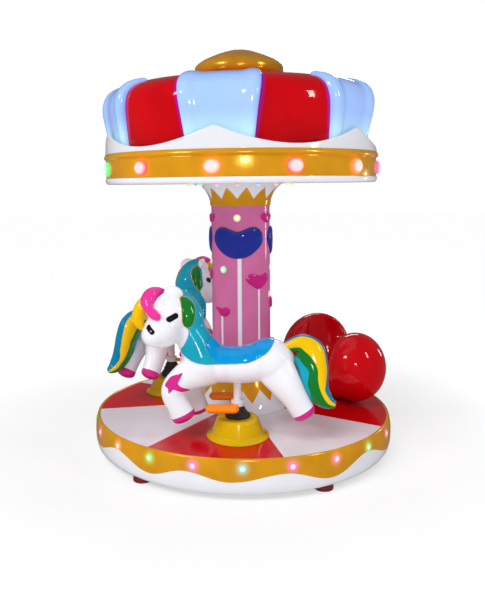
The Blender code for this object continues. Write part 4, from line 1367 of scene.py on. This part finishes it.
def footrest_mesh():
    """Two padded pedals on a flat bar that is clamped to the pole by a collar."""
    bm = bmesh.new()
    for side in (-1, 1):
        y = side * PEDAL_SIDE
        add(bm, tube([(x, y, PEDAL_HEIGHT, 0.0178 * s, 0.0255 * s) for x, s in PEDAL], 28, 2, 0.3))
    bar = bmesh.new()
    bmesh.ops.create_cube(bar, size=1.0)
    bmesh.ops.scale(bar, vec=(0.037, 0.188, 0.0095), verts=bar.verts[:])
    bmesh.ops.translate(bar, vec=(0.0142, 0.0, COLLAR_LOW + 0.0094), verts=bar.verts[:])
    bmesh.ops.bevel(bar, geom=bar.edges[:], offset=0.0022, segments=3, profile=0.5, affect="EDGES")
    add(bm, bar)
    inner = POLE_R + 0.0004
    collar = [(inner, COLLAR_LOW), (0.0292, COLLAR_LOW), (0.0292, COLLAR_HIGH), (inner, COLLAR_HIGH)]
    add(bm, lathe(rounded(collar, 0.002), 40, paint=lambda row, turn: 1))
    return bm


POLE = [(0.0, POLE_LOW), (POLE_R, POLE_LOW), (POLE_R, POLE_HIGH), (0.0, POLE_HIGH)]
for index, pony in enumerate(PONIES):
    rider = f"pony_{pony.name}"
    place = ride_place(index)
    lifted = Matrix.Translation((0.0, 0.0, pony.raised)) @ place
    cup = seated(moved(lathe(rounded(CUP, 0.004), 120), place))
    piece(f"cup_{pony.name}_skin", cup, "rotor", [cup_coat], [f"cup_{pony.name}"])
    boot = moved(boot_mesh(pony.raised), place)
    boot = piece(f"boot_{pony.name}_skin", boot, None, [boot_rubber], [f"boot_{pony.name}"])
    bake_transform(boot)
    pole = moved(lathe(rounded(POLE, 0.002), 48, closed=False), lifted)
    piece(f"pole_{pony.name}_skin", pole, rider, [pole_coat], [f"{rider}_pole"])
    piece(f"footrest_{pony.name}_skin", moved(footrest_mesh(), lifted), rider, [orange_coat, pole_coat],
          [f"{rider}_footrest"])

# %% [markdown]
# ## How the ponies are made
# The real ponies come out of a two-part mould: plump, rounded and smooth, with no sharp line except where
# a raised lock of hair ends. They are modelled like clay. Overlapping eggs and tapered tubes are melted
# together by a voxel remesh, softened, and then pressed here and there with a thumb to make ears and eye
# sockets.

# %% Clay tools


def ball(bm, centre, size, turn=(0.0, 0.0, 0.0), rings=24, sides=36):
    """Adds an ellipsoid to a mesh."""
    place = Matrix.Translation(Vector(centre))
    for angle, axis in zip(turn, "XYZ"):
        place = place @ Matrix.Rotation(radians(angle), 4, axis)
    place = place @ Matrix.Diagonal((*size, 1.0))
    bmesh.ops.create_uvsphere(bm, u_segments=sides, v_segments=rings, radius=1.0, matrix=place)


def shaped(bm, *changes):
    """The mesh after a list of modifiers, each a type and its settings."""
    bmesh.ops.recalc_face_normals(bm, faces=bm.faces[:])
    mesh = bpy.data.meshes.new("clay")
    bm.to_mesh(mesh)
    bm.free()
    obj = bpy.data.objects.new("clay", mesh)
    bpy.context.scene.collection.objects.link(obj)
    for kind, settings in changes:
        mod = obj.modifiers.new(kind, kind)
        for key, value in settings.items():
            setattr(mod, key, value)
    graph = bpy.context.evaluated_depsgraph_get()
    done = bpy.data.meshes.new_from_object(obj.evaluated_get(graph))
    bm = bmesh.new()
    bm.from_mesh(done)
    bpy.data.objects.remove(obj, do_unlink=True)
    bpy.data.meshes.remove(mesh)
    bpy.data.meshes.remove(done)
    return bm


def melted(bm, cell, soften):
    """One soft skin round overlapping bodies."""
    voxels = {"mode": "VOXEL", "voxel_size": cell, "adaptivity": 0.0}
    return shaped(bm, ("REMESH", voxels), ("SMOOTH", {"factor": 0.5, "iterations": soften}))


def cut(bm, cutters, how="DIFFERENCE"):
    """The mesh with other meshes cut away."""
    tools = []
    for other in cutters:
        bmesh.ops.recalc_face_normals(other, faces=other.faces[:])
        mesh = bpy.data.meshes.new("cutter")
        other.to_mesh(mesh)
        other.free()
        tool = bpy.data.objects.new("cutter", mesh)
        bpy.context.scene.collection.objects.link(tool)
        tools.append(tool)
    changes = [("BOOLEAN", {"operation": how, "solver": "EXACT", "object": tool}) for tool in tools]
    done = shaped(bm, *changes)
    for tool in tools:
        mesh = tool.data
        bpy.data.objects.remove(tool, do_unlink=True)
        bpy.data.meshes.remove(mesh)
    return done


def grown(bm, by):
    """A copy of a mesh pushed out along its normals."""
    copy = bm.copy()
    copy.normal_update()
    for v, n in [(v, v.normal.copy()) for v in copy.verts]:
        v.co += n * by
    return copy


def side_prism(outline, half):
    """A closed body from an outline of (x, z), reaching the same distance to both sides."""
    bm = bmesh.new()
    one = [bm.verts.new((x, -half, z)) for x, z in outline]
    two = [bm.verts.new((x, half, z)) for x, z in outline]
    bm.faces.new(one)
    bm.faces.new(list(reversed(two)))
    for i in range(len(outline)):
        j = (i + 1) % len(outline)
        bm.faces.new((one[i], two[i], two[j], one[j]))
    return bm


def pressed(bm, path, width, depth):
    """Presses a groove into a mesh along a path of points, deepest in its middle."""
    bm.normal_update()
    points = [Vector(p) for p in path]
    moves = []
    for v in bm.verts:
        best = 9.0
        for a, b in zip(points, points[1:]):
            ab = b - a
            t = min(1.0, max(0.0, (v.co - a).dot(ab) / ab.length_squared))
            best = min(best, (v.co - a - ab * t).length)
        if best < width:
            t = 1.0 - (best / width) ** 2
            moves.append((v, v.normal * (-depth * t * t)))
    for v, step in moves:
        v.co += step
    return bm


egg = bmesh.new()
ball(egg, (0.0, 0.0, 0.0), (0.10, 0.06, 0.06))
print("an egg of clay has", len(egg.faces), "faces")
egg.free()

# %% [markdown]
# ## The pony's body
# All sizes are in the pony's own frame, in metres: the pole is at the origin, the head is ahead at +x. The
# front pony turns its head to its left. The rear one bends its whole neck to its left and turns its head a
# little back.

# %% Model the body
HEAD_AT = (0.300, 0.014, 0.562)
EAR_CREASE = [(0.044, 0.032, 0.090), (0.0535, 0.040, 0.077), (0.058, 0.064, 0.048)]
EYE_SOCKET = [(0.018, 0.093, -0.006), (0.068, 0.075, -0.027)]


def head_place(head_turn):
    """Where the head sits: turned to the pony's left by some degrees, and leaning a little with it."""
    return (Matrix.Translation(HEAD_AT) @ Matrix.Rotation(radians(head_turn), 4, "Z")
            @ Matrix.Rotation(radians(0.35 * head_turn), 4, "X"))


def head_mesh(head_turn):
    """Skull, muzzle and nose, with an ear and its root on each side."""
    head = bmesh.new()
    ball(head, (0.0, 0.0, 0.0), (0.106, 0.098, 0.104))
    ball(head, (0.046, 0.0, -0.060), (0.094, 0.088, 0.082), (0, 18, 0))
    ball(head, (0.088, 0.0, -0.076), (0.066, 0.068, 0.058), (0, 10, 0))
    for side in (-1, 1):
        ball(head, (0.004, side * 0.056, 0.088), (0.046, 0.025, 0.038), (side * -24, -4, side * -34))
        ball(head, (0.046, side * 0.046, 0.070), (0.022, 0.019, 0.030), (side * -18, 14, 0))
    return moved(head, head_place(head_turn))


def leg_points():
    """Near and far foreleg, near and far hind leg, each from the body to the hoof as points for a tube."""
    y = 0.068
    near = [(0.175, y * 0.75, 0.320, 0.080, 0.054), (0.240, y * 0.9, 0.284, 0.062, 0.053),
            (0.283, y, 0.242, 0.053, 0.049), (0.284, y, 0.205, 0.051, 0.047),
            (0.266, y, 0.171, 0.050, 0.047), (0.246, y, 0.131, 0.055, 0.049),
            (0.238, y, 0.114, 0.056, 0.049)]
    far = [(0.172, -y * 0.75, 0.317, 0.080, 0.054), (0.215, -y * 0.9, 0.276, 0.061, 0.052),
           (0.224, -y, 0.228, 0.052, 0.048), (0.210, -y, 0.180, 0.049, 0.046),
           (0.197, -y, 0.138, 0.049, 0.046), (0.186, -y, 0.104, 0.050, 0.046)]
    legs = [near, far]
    for side, shift, lift in ((1, 0.0, 0.0), (-1, 0.026, 0.006)):
        y = side * 0.062
        legs.append([(-0.160, y * 0.7, 0.345, 0.092, 0.050),
                     (-0.212 + shift * 0.4, y, 0.272, 0.074, 0.054),
                     (-0.250 + shift, y * 1.1, 0.216 + lift, 0.060, 0.050),
                     (-0.277 + shift, y * 1.15, 0.172 + lift, 0.055, 0.046),
                     (-0.299 + shift, y * 1.15, 0.136 + lift, 0.053, 0.046)])
    return legs


def pony_body(head_turn):
    """Belly, chest and rump, neck, head and legs, melted into one skin."""
    bm = bmesh.new()
    ball(bm, (-0.150, 0, 0.352), (0.112, 0.108, 0.100))
    ball(bm, (0.000, 0, 0.331), (0.190, 0.092, 0.080))
    ball(bm, (0.150, 0, 0.338), (0.110, 0.108, 0.104))
    ball(bm, (0.070, 0, 0.334), (0.100, 0.097, 0.081))
    ball(bm, (-0.078, 0, 0.341), (0.100, 0.098, 0.083))
    add(bm, tube([(0.140, 0, 0.350, 0.094, 0.090), (0.190, 0, 0.430, 0.078, 0.080),
                  (0.226, 0.003, 0.500, 0.070, 0.074), (0.256, 0.010, 0.560, 0.066, 0.070)], 32, 6))
    add(bm, head_mesh(head_turn))
    for leg in leg_points():
        add(bm, tube(leg, 28, 6))
    return melted(bm, 0.0044, 16)


def face_pressed(bm, head_turn):
    """Ear creases and soft eye sockets, pressed into the melted head."""
    place = head_place(head_turn)
    for side in (-1, 1):
        crease = [place @ Vector((x, side * y, z)) for x, y, z in EAR_CREASE]
        pressed(bm, crease, 0.013, 0.0085)
        socket = [place @ Vector((x, side * y, z)) for x, y, z in EYE_SOCKET]
        pressed(bm, socket, 0.022, 0.0022)
    return bm


def swayed(bm, sway):
    """Bends the neck and head to the pony's left."""
    for v in bm.verts:
        v.co = sway_point(v.co, sway)
    return bm


def sway_point(point, sway):
    """A point of the neck or head after the bend, which grows from the shoulder to the jaw."""
    if point.x <= 0.02:
        return point.copy()
    share = min(1.0, max(0.0, (point.z - 0.410) / 0.150))
    return Vector((point.x, point.y + sway * share * share * (3 - 2 * share), point.z))


print("hooves end at heights", [round(leg[-1][2], 3) for leg in leg_points()])


# %% [markdown]
# ## Painted hooves
# The hooves are painted up to a straight line round the leg. The line is a real edge: each leg is sliced
# by a plane there, and the faces beyond it get the hoof's finish.

# %% Slice and paint the hooves
# How far up each leg the paint reaches from the middle of its last ring
HOOF_LIFTS = [0.014, 0.004, 0.0147, 0.0147]
SLICE_REACH = 0.115
HOOF_REACH = 0.100


def hoofed(bm):
    """Cuts each leg at its line and paints what lies beyond."""
    for leg, lift in zip(leg_points(), HOOF_LIFTS):
        end = Vector(leg[-1][:3])
        down = (end - Vector(leg[-2][:3])).normalized()
        line = end - down * lift
        near = [f for f in bm.faces if (f.calc_center_median() - end).length < SLICE_REACH]
        parts = set(near)
        for f in near:
            parts.update(f.verts)
            parts.update(f.edges)
        bmesh.ops.bisect_plane(bm, geom=list(parts), dist=1e-6, plane_co=line, plane_no=down)
        for f in bm.faces:
            middle = f.calc_center_median()
            same_leg = (middle - end).length < HOOF_REACH and middle.y * end.y > 0.0
            if same_leg and (middle - line).dot(down) > 0:
                f.material_index = 1
    return bm


print("hooves to paint on each pony:", len(HOOF_LIFTS))

# %% [markdown]
# ## Patches that lie on the clay
# Eyes, the knee splash and the green lock are patches: an outline in the plane of the pony's side is
# thrown onto the skin, ring by ring, and lifted a little with a rolled edge. So each follows the form
# under it exactly.

# %% Throw a patch onto a skin


def tree_of(*meshes):
    """A search tree over the faces of some meshes."""
    verts, faces = [], []
    for bm in meshes:
        start = len(verts)
        bm.verts.index_update()
        verts += [v.co.copy() for v in bm.verts]
        faces += [[start + v.index for v in f.verts] for f in bm.faces]
    return BVHTree.FromPolygons(verts, faces)


PATCH_RINGS = 9
CAST_FROM = 0.30
CAST_BEYOND = 0.10
ROUND_STEPS = 12
STRAIGHT_STEPS = 8


def patch(tree, outline, centre, place, side, lift, dome_lift=0.0):
    """A patch from an outline of (x, z) about a centre, thrown along y from one side of a frame."""
    bm = bmesh.new()
    rows = []
    way = (place.to_3x3() @ Vector((0.0, -side, 0.0))).normalized()

    def landed(x, z, height):
        start = place @ Vector((x, side * CAST_FROM, z))
        spot, normal, _, _ = tree.ray_cast(start, way)
        if spot is None or (spot - start).length > CAST_FROM + CAST_BEYOND:
            spot, normal, _, _ = tree.find_nearest(place @ Vector((x, side * 0.09, z)))
        if normal.dot(way) > 0:
            normal = -normal
        return spot + normal * height

    profile = [(1.0, -0.0015), (1.0, lift * 0.45), (0.985, lift * 0.80), (0.955, lift)]
    for k in range(1, PATCH_RINGS):
        share = 1 - k / PATCH_RINGS
        profile.append((0.955 * share, lift + dome_lift * (1 - share ** 2)))
    for grow, height in profile:
        ring = []
        for x, z in outline:
            px = centre[0] + (x - centre[0]) * grow
            pz = centre[1] + (z - centre[1]) * grow
            ring.append(bm.verts.new(landed(px, pz, height)))
        rows.append(ring)
    bridge(bm, rows)
    fan(bm, rows[-1], bm.verts.new(landed(*centre, lift + dome_lift)))
    return bm


def pill(centre, long, wide, tilt):
    """An outline with round ends, tipped up by some degrees."""
    half = (long - wide) / 2
    run = [half - 2 * half * k / STRAIGHT_STEPS for k in range(1, STRAIGHT_STEPS)]
    bends = [-pi / 2 + pi * k / ROUND_STEPS for k in range(ROUND_STEPS + 1)]
    flat = [(half + wide / 2 * cos(a), wide / 2 * sin(a)) for a in bends]
    flat += [(u, wide / 2) for u in run]
    flat += [(-half - wide / 2 * cos(a), -wide / 2 * sin(a)) for a in bends]
    flat += [(-u, -wide / 2) for u in run]
    t = radians(tilt)
    return [(centre[0] + u * cos(t) - v * sin(t), centre[1] + u * sin(t) + v * cos(t)) for u, v in flat]


print("points round an eye:", len(pill((0.0, 0.0), 0.055, 0.026, 0.0)))

# %% [markdown]
# ## Mane and forelock
# The mane is a cape round the neck, melted together with a band of the shoulder and cut by three simple
# bodies: one for the throat, one for the hem and one for the line where it meets the saddle. The forelock
# is two thick locks, a pink one and a yellow one, that fall to either side of the brow and follow the head
# when it turns.

# %% Model the mane and the forelock
MANE_LAP = 0.003
MANE_BACK = 0.4620
CUT_HALF = 0.20
MANE_EDGE = [(0.0600, 0.3420), (0.0804, 0.3590), (0.0966, 0.3760), (0.1189, 0.3994), (0.1330, 0.4281),
             (0.1365, 0.4470), (0.1270, 0.4580), (0.0600, MANE_BACK)]
MANE_HEM = [(0.330, 0.545), (0.250, 0.532), (0.212, 0.508), (0.2145, 0.475), (0.2315, 0.439),
            (0.2485, 0.416), (0.2500, 0.4010), (0.2300, 0.3860), (0.1910, 0.3685), (0.1480, 0.3605),
            (0.1070, 0.3575), (0.0720, 0.3570), (0.0, 0.350)]
SHOULDER = [(0.055, 0.345), (0.250, 0.345), (0.250, 0.408), (0.055, 0.408)]


def pony_mane(body):
    """The cape and the shoulder's band, cut to the mane's outline and softened."""
    cape = tube([(0.152, 0.000, 0.290, 0.098, 0.113), (0.158, 0, 0.360, 0.092, 0.109),
                 (0.184, 0, 0.430, 0.080, 0.096), (0.218, 0, 0.490, 0.075, 0.086),
                 (0.238, 0, 0.560, 0.084, 0.079), (0.262, 0, 0.622, 0.062, 0.064),
                 (0.306, 0, 0.668, 0.022, 0.040)], 40, 8)
    shoulder = cut(grown(body, 0.0072), [side_prism(SHOULDER, CUT_HALF)], "INTERSECT")
    cape = melted(add(melted(cape, 0.005, 8), shoulder), 0.0045, 6)
    throat = bmesh.new()
    ball(throat, (0.345, 0.0, 0.430), (0.130, 0.062, 0.150))
    hem = side_prism(smooth_path(MANE_HEM, 5) + [(0.0, 0.20), (0.330, 0.20)], CUT_HALF)
    edge = [(x - MANE_LAP, z) for x, z in smooth_path(MANE_EDGE, 5)]
    behind = side_prism([(-0.10, 0.300)] + edge + [(-0.10, MANE_BACK)], CUT_HALF - 0.01)
    return melted(cut(cape, [hem, behind, throat]), 0.0036, 5)


def near_lock():
    """The pink lock, in the head's frame: from the crown over the brow and down beside the eye."""
    return tube([(0.008, -0.010, 0.106, 0.010, 0.018), (0.038, -0.013, 0.113, 0.019, 0.032),
                 (0.074, -0.017, 0.104, 0.029, 0.042), (0.103, -0.010, 0.073, 0.029, 0.037),
                 (0.113, 0.012, 0.036, 0.019, 0.024), (0.107, 0.040, 0.008, 0.019, 0.027),
                 (0.098, 0.056, -0.007, 0.015, 0.023)], 28, 6)


def far_lock():
    """The yellow lock on the other side of the brow."""
    return tube([(0.074, -0.036, 0.090, 0.020, 0.026), (0.106, -0.053, 0.062, 0.029, 0.032),
                 (0.127, -0.066, 0.020, 0.029, 0.031), (0.126, -0.068, -0.016, 0.024, 0.024),
                 (0.116, -0.064, -0.044, 0.012, 0.012)], 28, 6)


print("points along the mane's hem:", len(smooth_path(MANE_HEM, 5)))

# %% [markdown]
# ## Tail and saddle
# The tail is four strands round one curved core. Each strand runs between two borders that wander from the
# root to the tip, so the colours meet along real edges in soft grooves. The saddle has to lie snugly on
# the back, so it is a copy of the body grown outwards and kept only between the mane's edge and its own
# hem.

# %% Model the tail and the saddle
TAIL = [(-0.222, 0, 0.420, 0.022, 0.026), (-0.284, 0.004, 0.430, 0.046, 0.036),
        (-0.317, 0.012, 0.398, 0.075, 0.044), (-0.336, 0.026, 0.338, 0.070, 0.048),
        (-0.342, 0.040, 0.280, 0.064, 0.046), (-0.362, 0.052, 0.227, 0.052, 0.040),
        (-0.396, 0.062, 0.192, 0.036, 0.030), (-0.426, 0.068, 0.178, 0.018, 0.018)]
# Borders between the strands from the root to the tip: -1 is the side next to the leg, 1 is the outer edge
BORDERS = [[(0.0, -0.985), (0.20, -0.97), (0.34, -0.60), (0.50, -0.30), (0.64, -0.55), (0.80, -0.97),
            (1.0, -0.985)],
           [(0.0, -0.30), (0.20, -0.15), (0.50, 0.30), (0.72, 0.26), (1.0, -0.20)],
           [(0.0, 0.86), (0.30, 0.90), (0.55, 0.90), (0.80, 0.62), (1.0, 0.55)]]
STRANDS = len(BORDERS) + 1
STRAND_FACES = 10
STRAND_GROOVE = 0.0024
TAIL_TIP = 0.010
SADDLE_HEM = [(0.0640, 0.3580), (0.030, 0.3585), (-0.030, 0.3615), (-0.066, 0.3700), (-0.112, 0.394),
              (-0.150, 0.424), (-0.184, 0.480)]


def border_at(border, share):
    """Place of a border across the tail, at a share of its length."""
    for (a, u0), (b, u1) in zip(border, border[1:]):
        if a <= share <= b:
            t = (share - a) / (b - a)
            return u0 + (u1 - u0) * t * t * (3 - 2 * t)
    return border[-1][1]


def strand_turns(share):
    """Angles round the tail and how far each point bulges, at a share of its length."""
    edges = [0.0] + [acos(-border_at(border, share)) for border in BORDERS] + [pi]
    turns = []
    for one, two in zip(edges, edges[1:]):
        width = min(1.0, (two - one) / 0.8)
        for k in range(STRAND_FACES):
            t = k / STRAND_FACES
            turns.append((one + (two - one) * t, STRAND_GROOVE * width * (sin(pi * t) ** 0.7 - 0.7)))
    turns.append((pi, -0.7 * STRAND_GROOVE))
    return turns + [(-turn, puff) for turn, puff in reversed(turns[1:-1])]


def pony_tail():
    """The striped tail, with a finish for each strand."""
    path = smooth_path(TAIL, 8)
    bm = bmesh.new()
    rings = []
    for i, (x, y, z, a, b) in enumerate(path):
        inner, across = frame_along(path, i)
        ring = []
        for turn, puff in strand_turns(i / (len(path) - 1)):
            spot = Vector((x, y, z)) + inner * (cos(turn) * (a + puff)) + across * (sin(turn) * (b + puff))
            ring.append(bm.verts.new(spot))
        rings.append(ring)
    strands = [k // STRAND_FACES for k in range(STRANDS * STRAND_FACES)]
    strands = strands + strands[::-1]
    bridge(bm, rings, strands)
    for ring, near in ((rings[0], rings[1]), (rings[-1], rings[-2])):
        round_end(bm, ring, near, TAIL_TIP, 4, strands)
    return bm


def pony_saddle(body):
    """A grown copy of the body, kept only between the mane's edge and the saddle's hem."""
    front = [(x + MANE_LAP, z) for x, z in reversed(smooth_path(MANE_EDGE[1:], 5))]
    region = side_prism(front + smooth_path(SADDLE_HEM, 5)[1:], CUT_HALF)
    return melted(cut(grown(body, 0.0065), [region], "INTERSECT"), 0.0036, 4)


print("strands in a tail:", STRANDS, "with", STRAND_FACES, "faces across each")

# %% [markdown]
# ## Put the ponies together
# Each pony is modelled in its own frame and then carried to its place on the floor. The front pony's far
# eye sits beyond the bridge of its turned nose, so it is thrown from a frame of its own.

# %% Build both ponies
LOCK = [(0.249, 0.650), (0.225, 0.647), (0.204, 0.632), (0.189, 0.610), (0.183, 0.578), (0.188, 0.544),
        (0.197, 0.524), (0.212, 0.517), (0.227, 0.524), (0.236, 0.540), (0.237, 0.566), (0.240, 0.600),
        (0.247, 0.632)]
LOCK_CENTRE = (0.214, 0.582)
LOCK_EDGE = 0.0016
SPLASH = [(0.316, 0.262), (0.304, 0.284), (0.285, 0.303), (0.235, 0.320), (0.256, 0.287), (0.247, 0.262),
          (0.205, 0.240), (0.237, 0.232), (0.277, 0.247), (0.297, 0.229), (0.3015, 0.250)]
SPLASH_CENTRE = (0.262, 0.264)
FAR_KNEE = (-0.052, -0.010)
# An eye's length, width and tilt, and its middle beside the head
EYE = (0.055, 0.026, -22.6)
NEAR_EYE_AT = (0.0430, -0.0165)
REAR_FAR_EYE_AT = (0.024, -0.002)
FAR_EYE = (0.056, 0.021, 48.0)
FAR_EYE_AT = (0.134, 0.035, -0.054)
FAR_EYE_TURN = radians(-65.0)


def grown_outline(outline, by):
    """An outline of (x, z) pushed outwards by a distance."""
    out = []
    count = len(outline)
    area = sum(a[0] * b[1] - b[0] * a[1] for a, b in zip(outline, outline[1:] + outline[:1]))
    sign = 1 if area > 0 else -1
    for i in range(count):
        before, after = Vector(outline[i - 1]), Vector(outline[(i + 1) % count])
        along = (after - before).normalized()
        out.append((outline[i][0] + sign * along.y * by, outline[i][1] - sign * along.x * by))
    return out


def pony_eyes(pony, head, tree):
    """Both eyes of a pony, thrown onto its head."""
    eyes = patch(tree, pill(NEAR_EYE_AT, *EYE), NEAR_EYE_AT, head, 1, 0.0014)
    if pony.name == "front":
        turned = head @ Matrix.Translation(FAR_EYE_AT) @ Matrix.Rotation(FAR_EYE_TURN, 4, "Z")
        far = patch(tree, pill((0.0, 0.0), *FAR_EYE), (0.0, 0.0), turned, 1, 0.0012)
    else:
        far = patch(tree, pill(REAR_FAR_EYE_AT, *EYE), REAR_FAR_EYE_AT, head, -1, 0.0012)
    return add(eyes, far)


for index, pony in enumerate(PONIES):
    lifted = Matrix.Translation((0.0, 0.0, pony.raised)) @ ride_place(index)
    rider = f"pony_{pony.name}"
    swung = Matrix.Translation((0.0, pony.sway, 0.0))
    head = swung @ head_place(pony.head_turn)
    body = swayed(face_pressed(pony_body(pony.head_turn), pony.head_turn), pony.sway)
    mane = swayed(pony_mane(body), pony.sway)
    skin_tree = tree_of(body)
    hair_tree = tree_of(body, mane)
    saddle = moved(pony_saddle(body), lifted)
    piece(f"{rider}_saddle_skin", saddle, rider, [saddle_coat], [f"{rider}_saddle"])
    piece(f"{rider}_mane_skin", moved(mane, lifted), rider, [teal_coat], [f"{rider}_mane"])
    body = moved(hoofed(body), lifted)
    piece(f"{rider}_body_skin", body, rider, [pony_coat, hoof_coat], [f"{rider}_body"])
    for side_name, lock, coat in (("near", near_lock(), hot_pink_coat), ("far", far_lock(), yellow_coat)):
        lock = swayed(moved(melted(lock, 0.003, 6), head_place(pony.head_turn)), pony.sway)
        piece(f"{rider}_forelock_{side_name}", moved(lock, lifted), rider, [coat],
              [f"{rider}_forelock"])
    tail_coats = [teal_coat, green_coat, yellow_coat, rim_blue_coat]
    tail = moved(pony_tail(), lifted)
    piece(f"{rider}_tail_skin", tail, rider, tail_coats, [f"{rider}_tail"])

    locks, edges, splashes = bmesh.new(), bmesh.new(), bmesh.new()
    for side, shift in ((1, (0.0, 0.0)), (-1, FAR_KNEE)):
        outline = soft_outline(LOCK, 5)
        add(edges, patch(hair_tree, grown_outline(outline, LOCK_EDGE), LOCK_CENTRE, swung, side, 0.0022))
        add(locks, patch(hair_tree, outline, LOCK_CENTRE, swung, side, 0.0032, 0.0020))
        outline = soft_outline([(x + shift[0], z + shift[1]) for x, z in SPLASH])
        centre = (SPLASH_CENTRE[0] + shift[0], SPLASH_CENTRE[1] + shift[1])
        add(splashes, patch(skin_tree, outline, centre, Matrix.Identity(4), side, 0.0006))
    eyes = moved(pony_eyes(pony, head, skin_tree), lifted)
    for part in (locks, edges, splashes):
        moved(part, lifted)
    piece(f"{rider}_locks", locks, rider, [green_coat], [f"{rider}_mane"])
    piece(f"{rider}_lock_edges", edges, rider, [gold_coat], [f"{rider}_mane"])
    piece(f"{rider}_splashes", splashes, rider, [hoof_coat], [f"{rider}_body"])
    piece(f"{rider}_eyes", eyes, rider, [eye_coat], [f"{rider}_body"])

# %% [markdown]
# ## The tub seat
# The third place is a red tub: a round hood for the knees ahead, a high round back behind, and between
# them a hollow that opens upwards. Its foot follows the slope of the floor.

# %% Model the tub seat
SEAT_R = 0.535
SEAT_ANGLE = radians(19.5)
SEAT_TURN = SEAT_ANGLE - pi / 2 + radians(13.0)
SEAT_GAP = 0.0004
BELOW_FLOOR = 0.05
# Upright eggs need no turn
UPRIGHT = (0, 0, 0)


def tub_seat(place):
    """Three eggs melted together, cut to the floor's slope and hollowed from above."""
    bm = bmesh.new()
    ball(bm, (0.165, 0.0, 0.195), (0.150, 0.158, 0.178), UPRIGHT, 40, 60)
    ball(bm, (-0.160, 0.0, 0.226), (0.128, 0.214, 0.202), UPRIGHT, 40, 60)
    ball(bm, (0.000, 0.0, 0.135), (0.235, 0.178, 0.135), UPRIGHT, 40, 60)
    skin = moved(melted(bm, 0.006, 9), place)
    middle = floor_z(0.0) + SEAT_GAP
    edge = floor_z(0.730) + SEAT_GAP
    under = lathe([(0.0, BELOW_FLOOR), (0.0, middle), (COLUMN_FOOT_R, middle), (0.730, edge),
                   (0.790, edge), (0.790, BELOW_FLOOR)], 96)
    hollow = bmesh.new()
    ball(hollow, (-0.040, 0.0, 0.345), (0.105, 0.150, 0.205), (0, -6, 0), 32, 48)
    return melted(cut(skin, [under, moved(hollow, place)]), 0.0055, 5)


seat_place = Matrix.Translation((SEAT_R * cos(SEAT_ANGLE), SEAT_R * sin(SEAT_ANGLE), DECK_Z))
seat_place = seat_place @ Matrix.Rotation(SEAT_TURN, 4, "Z")
piece("seat_tub_skin", tub_seat(seat_place), "rotor", [seat_coat], ["seat_tub"])
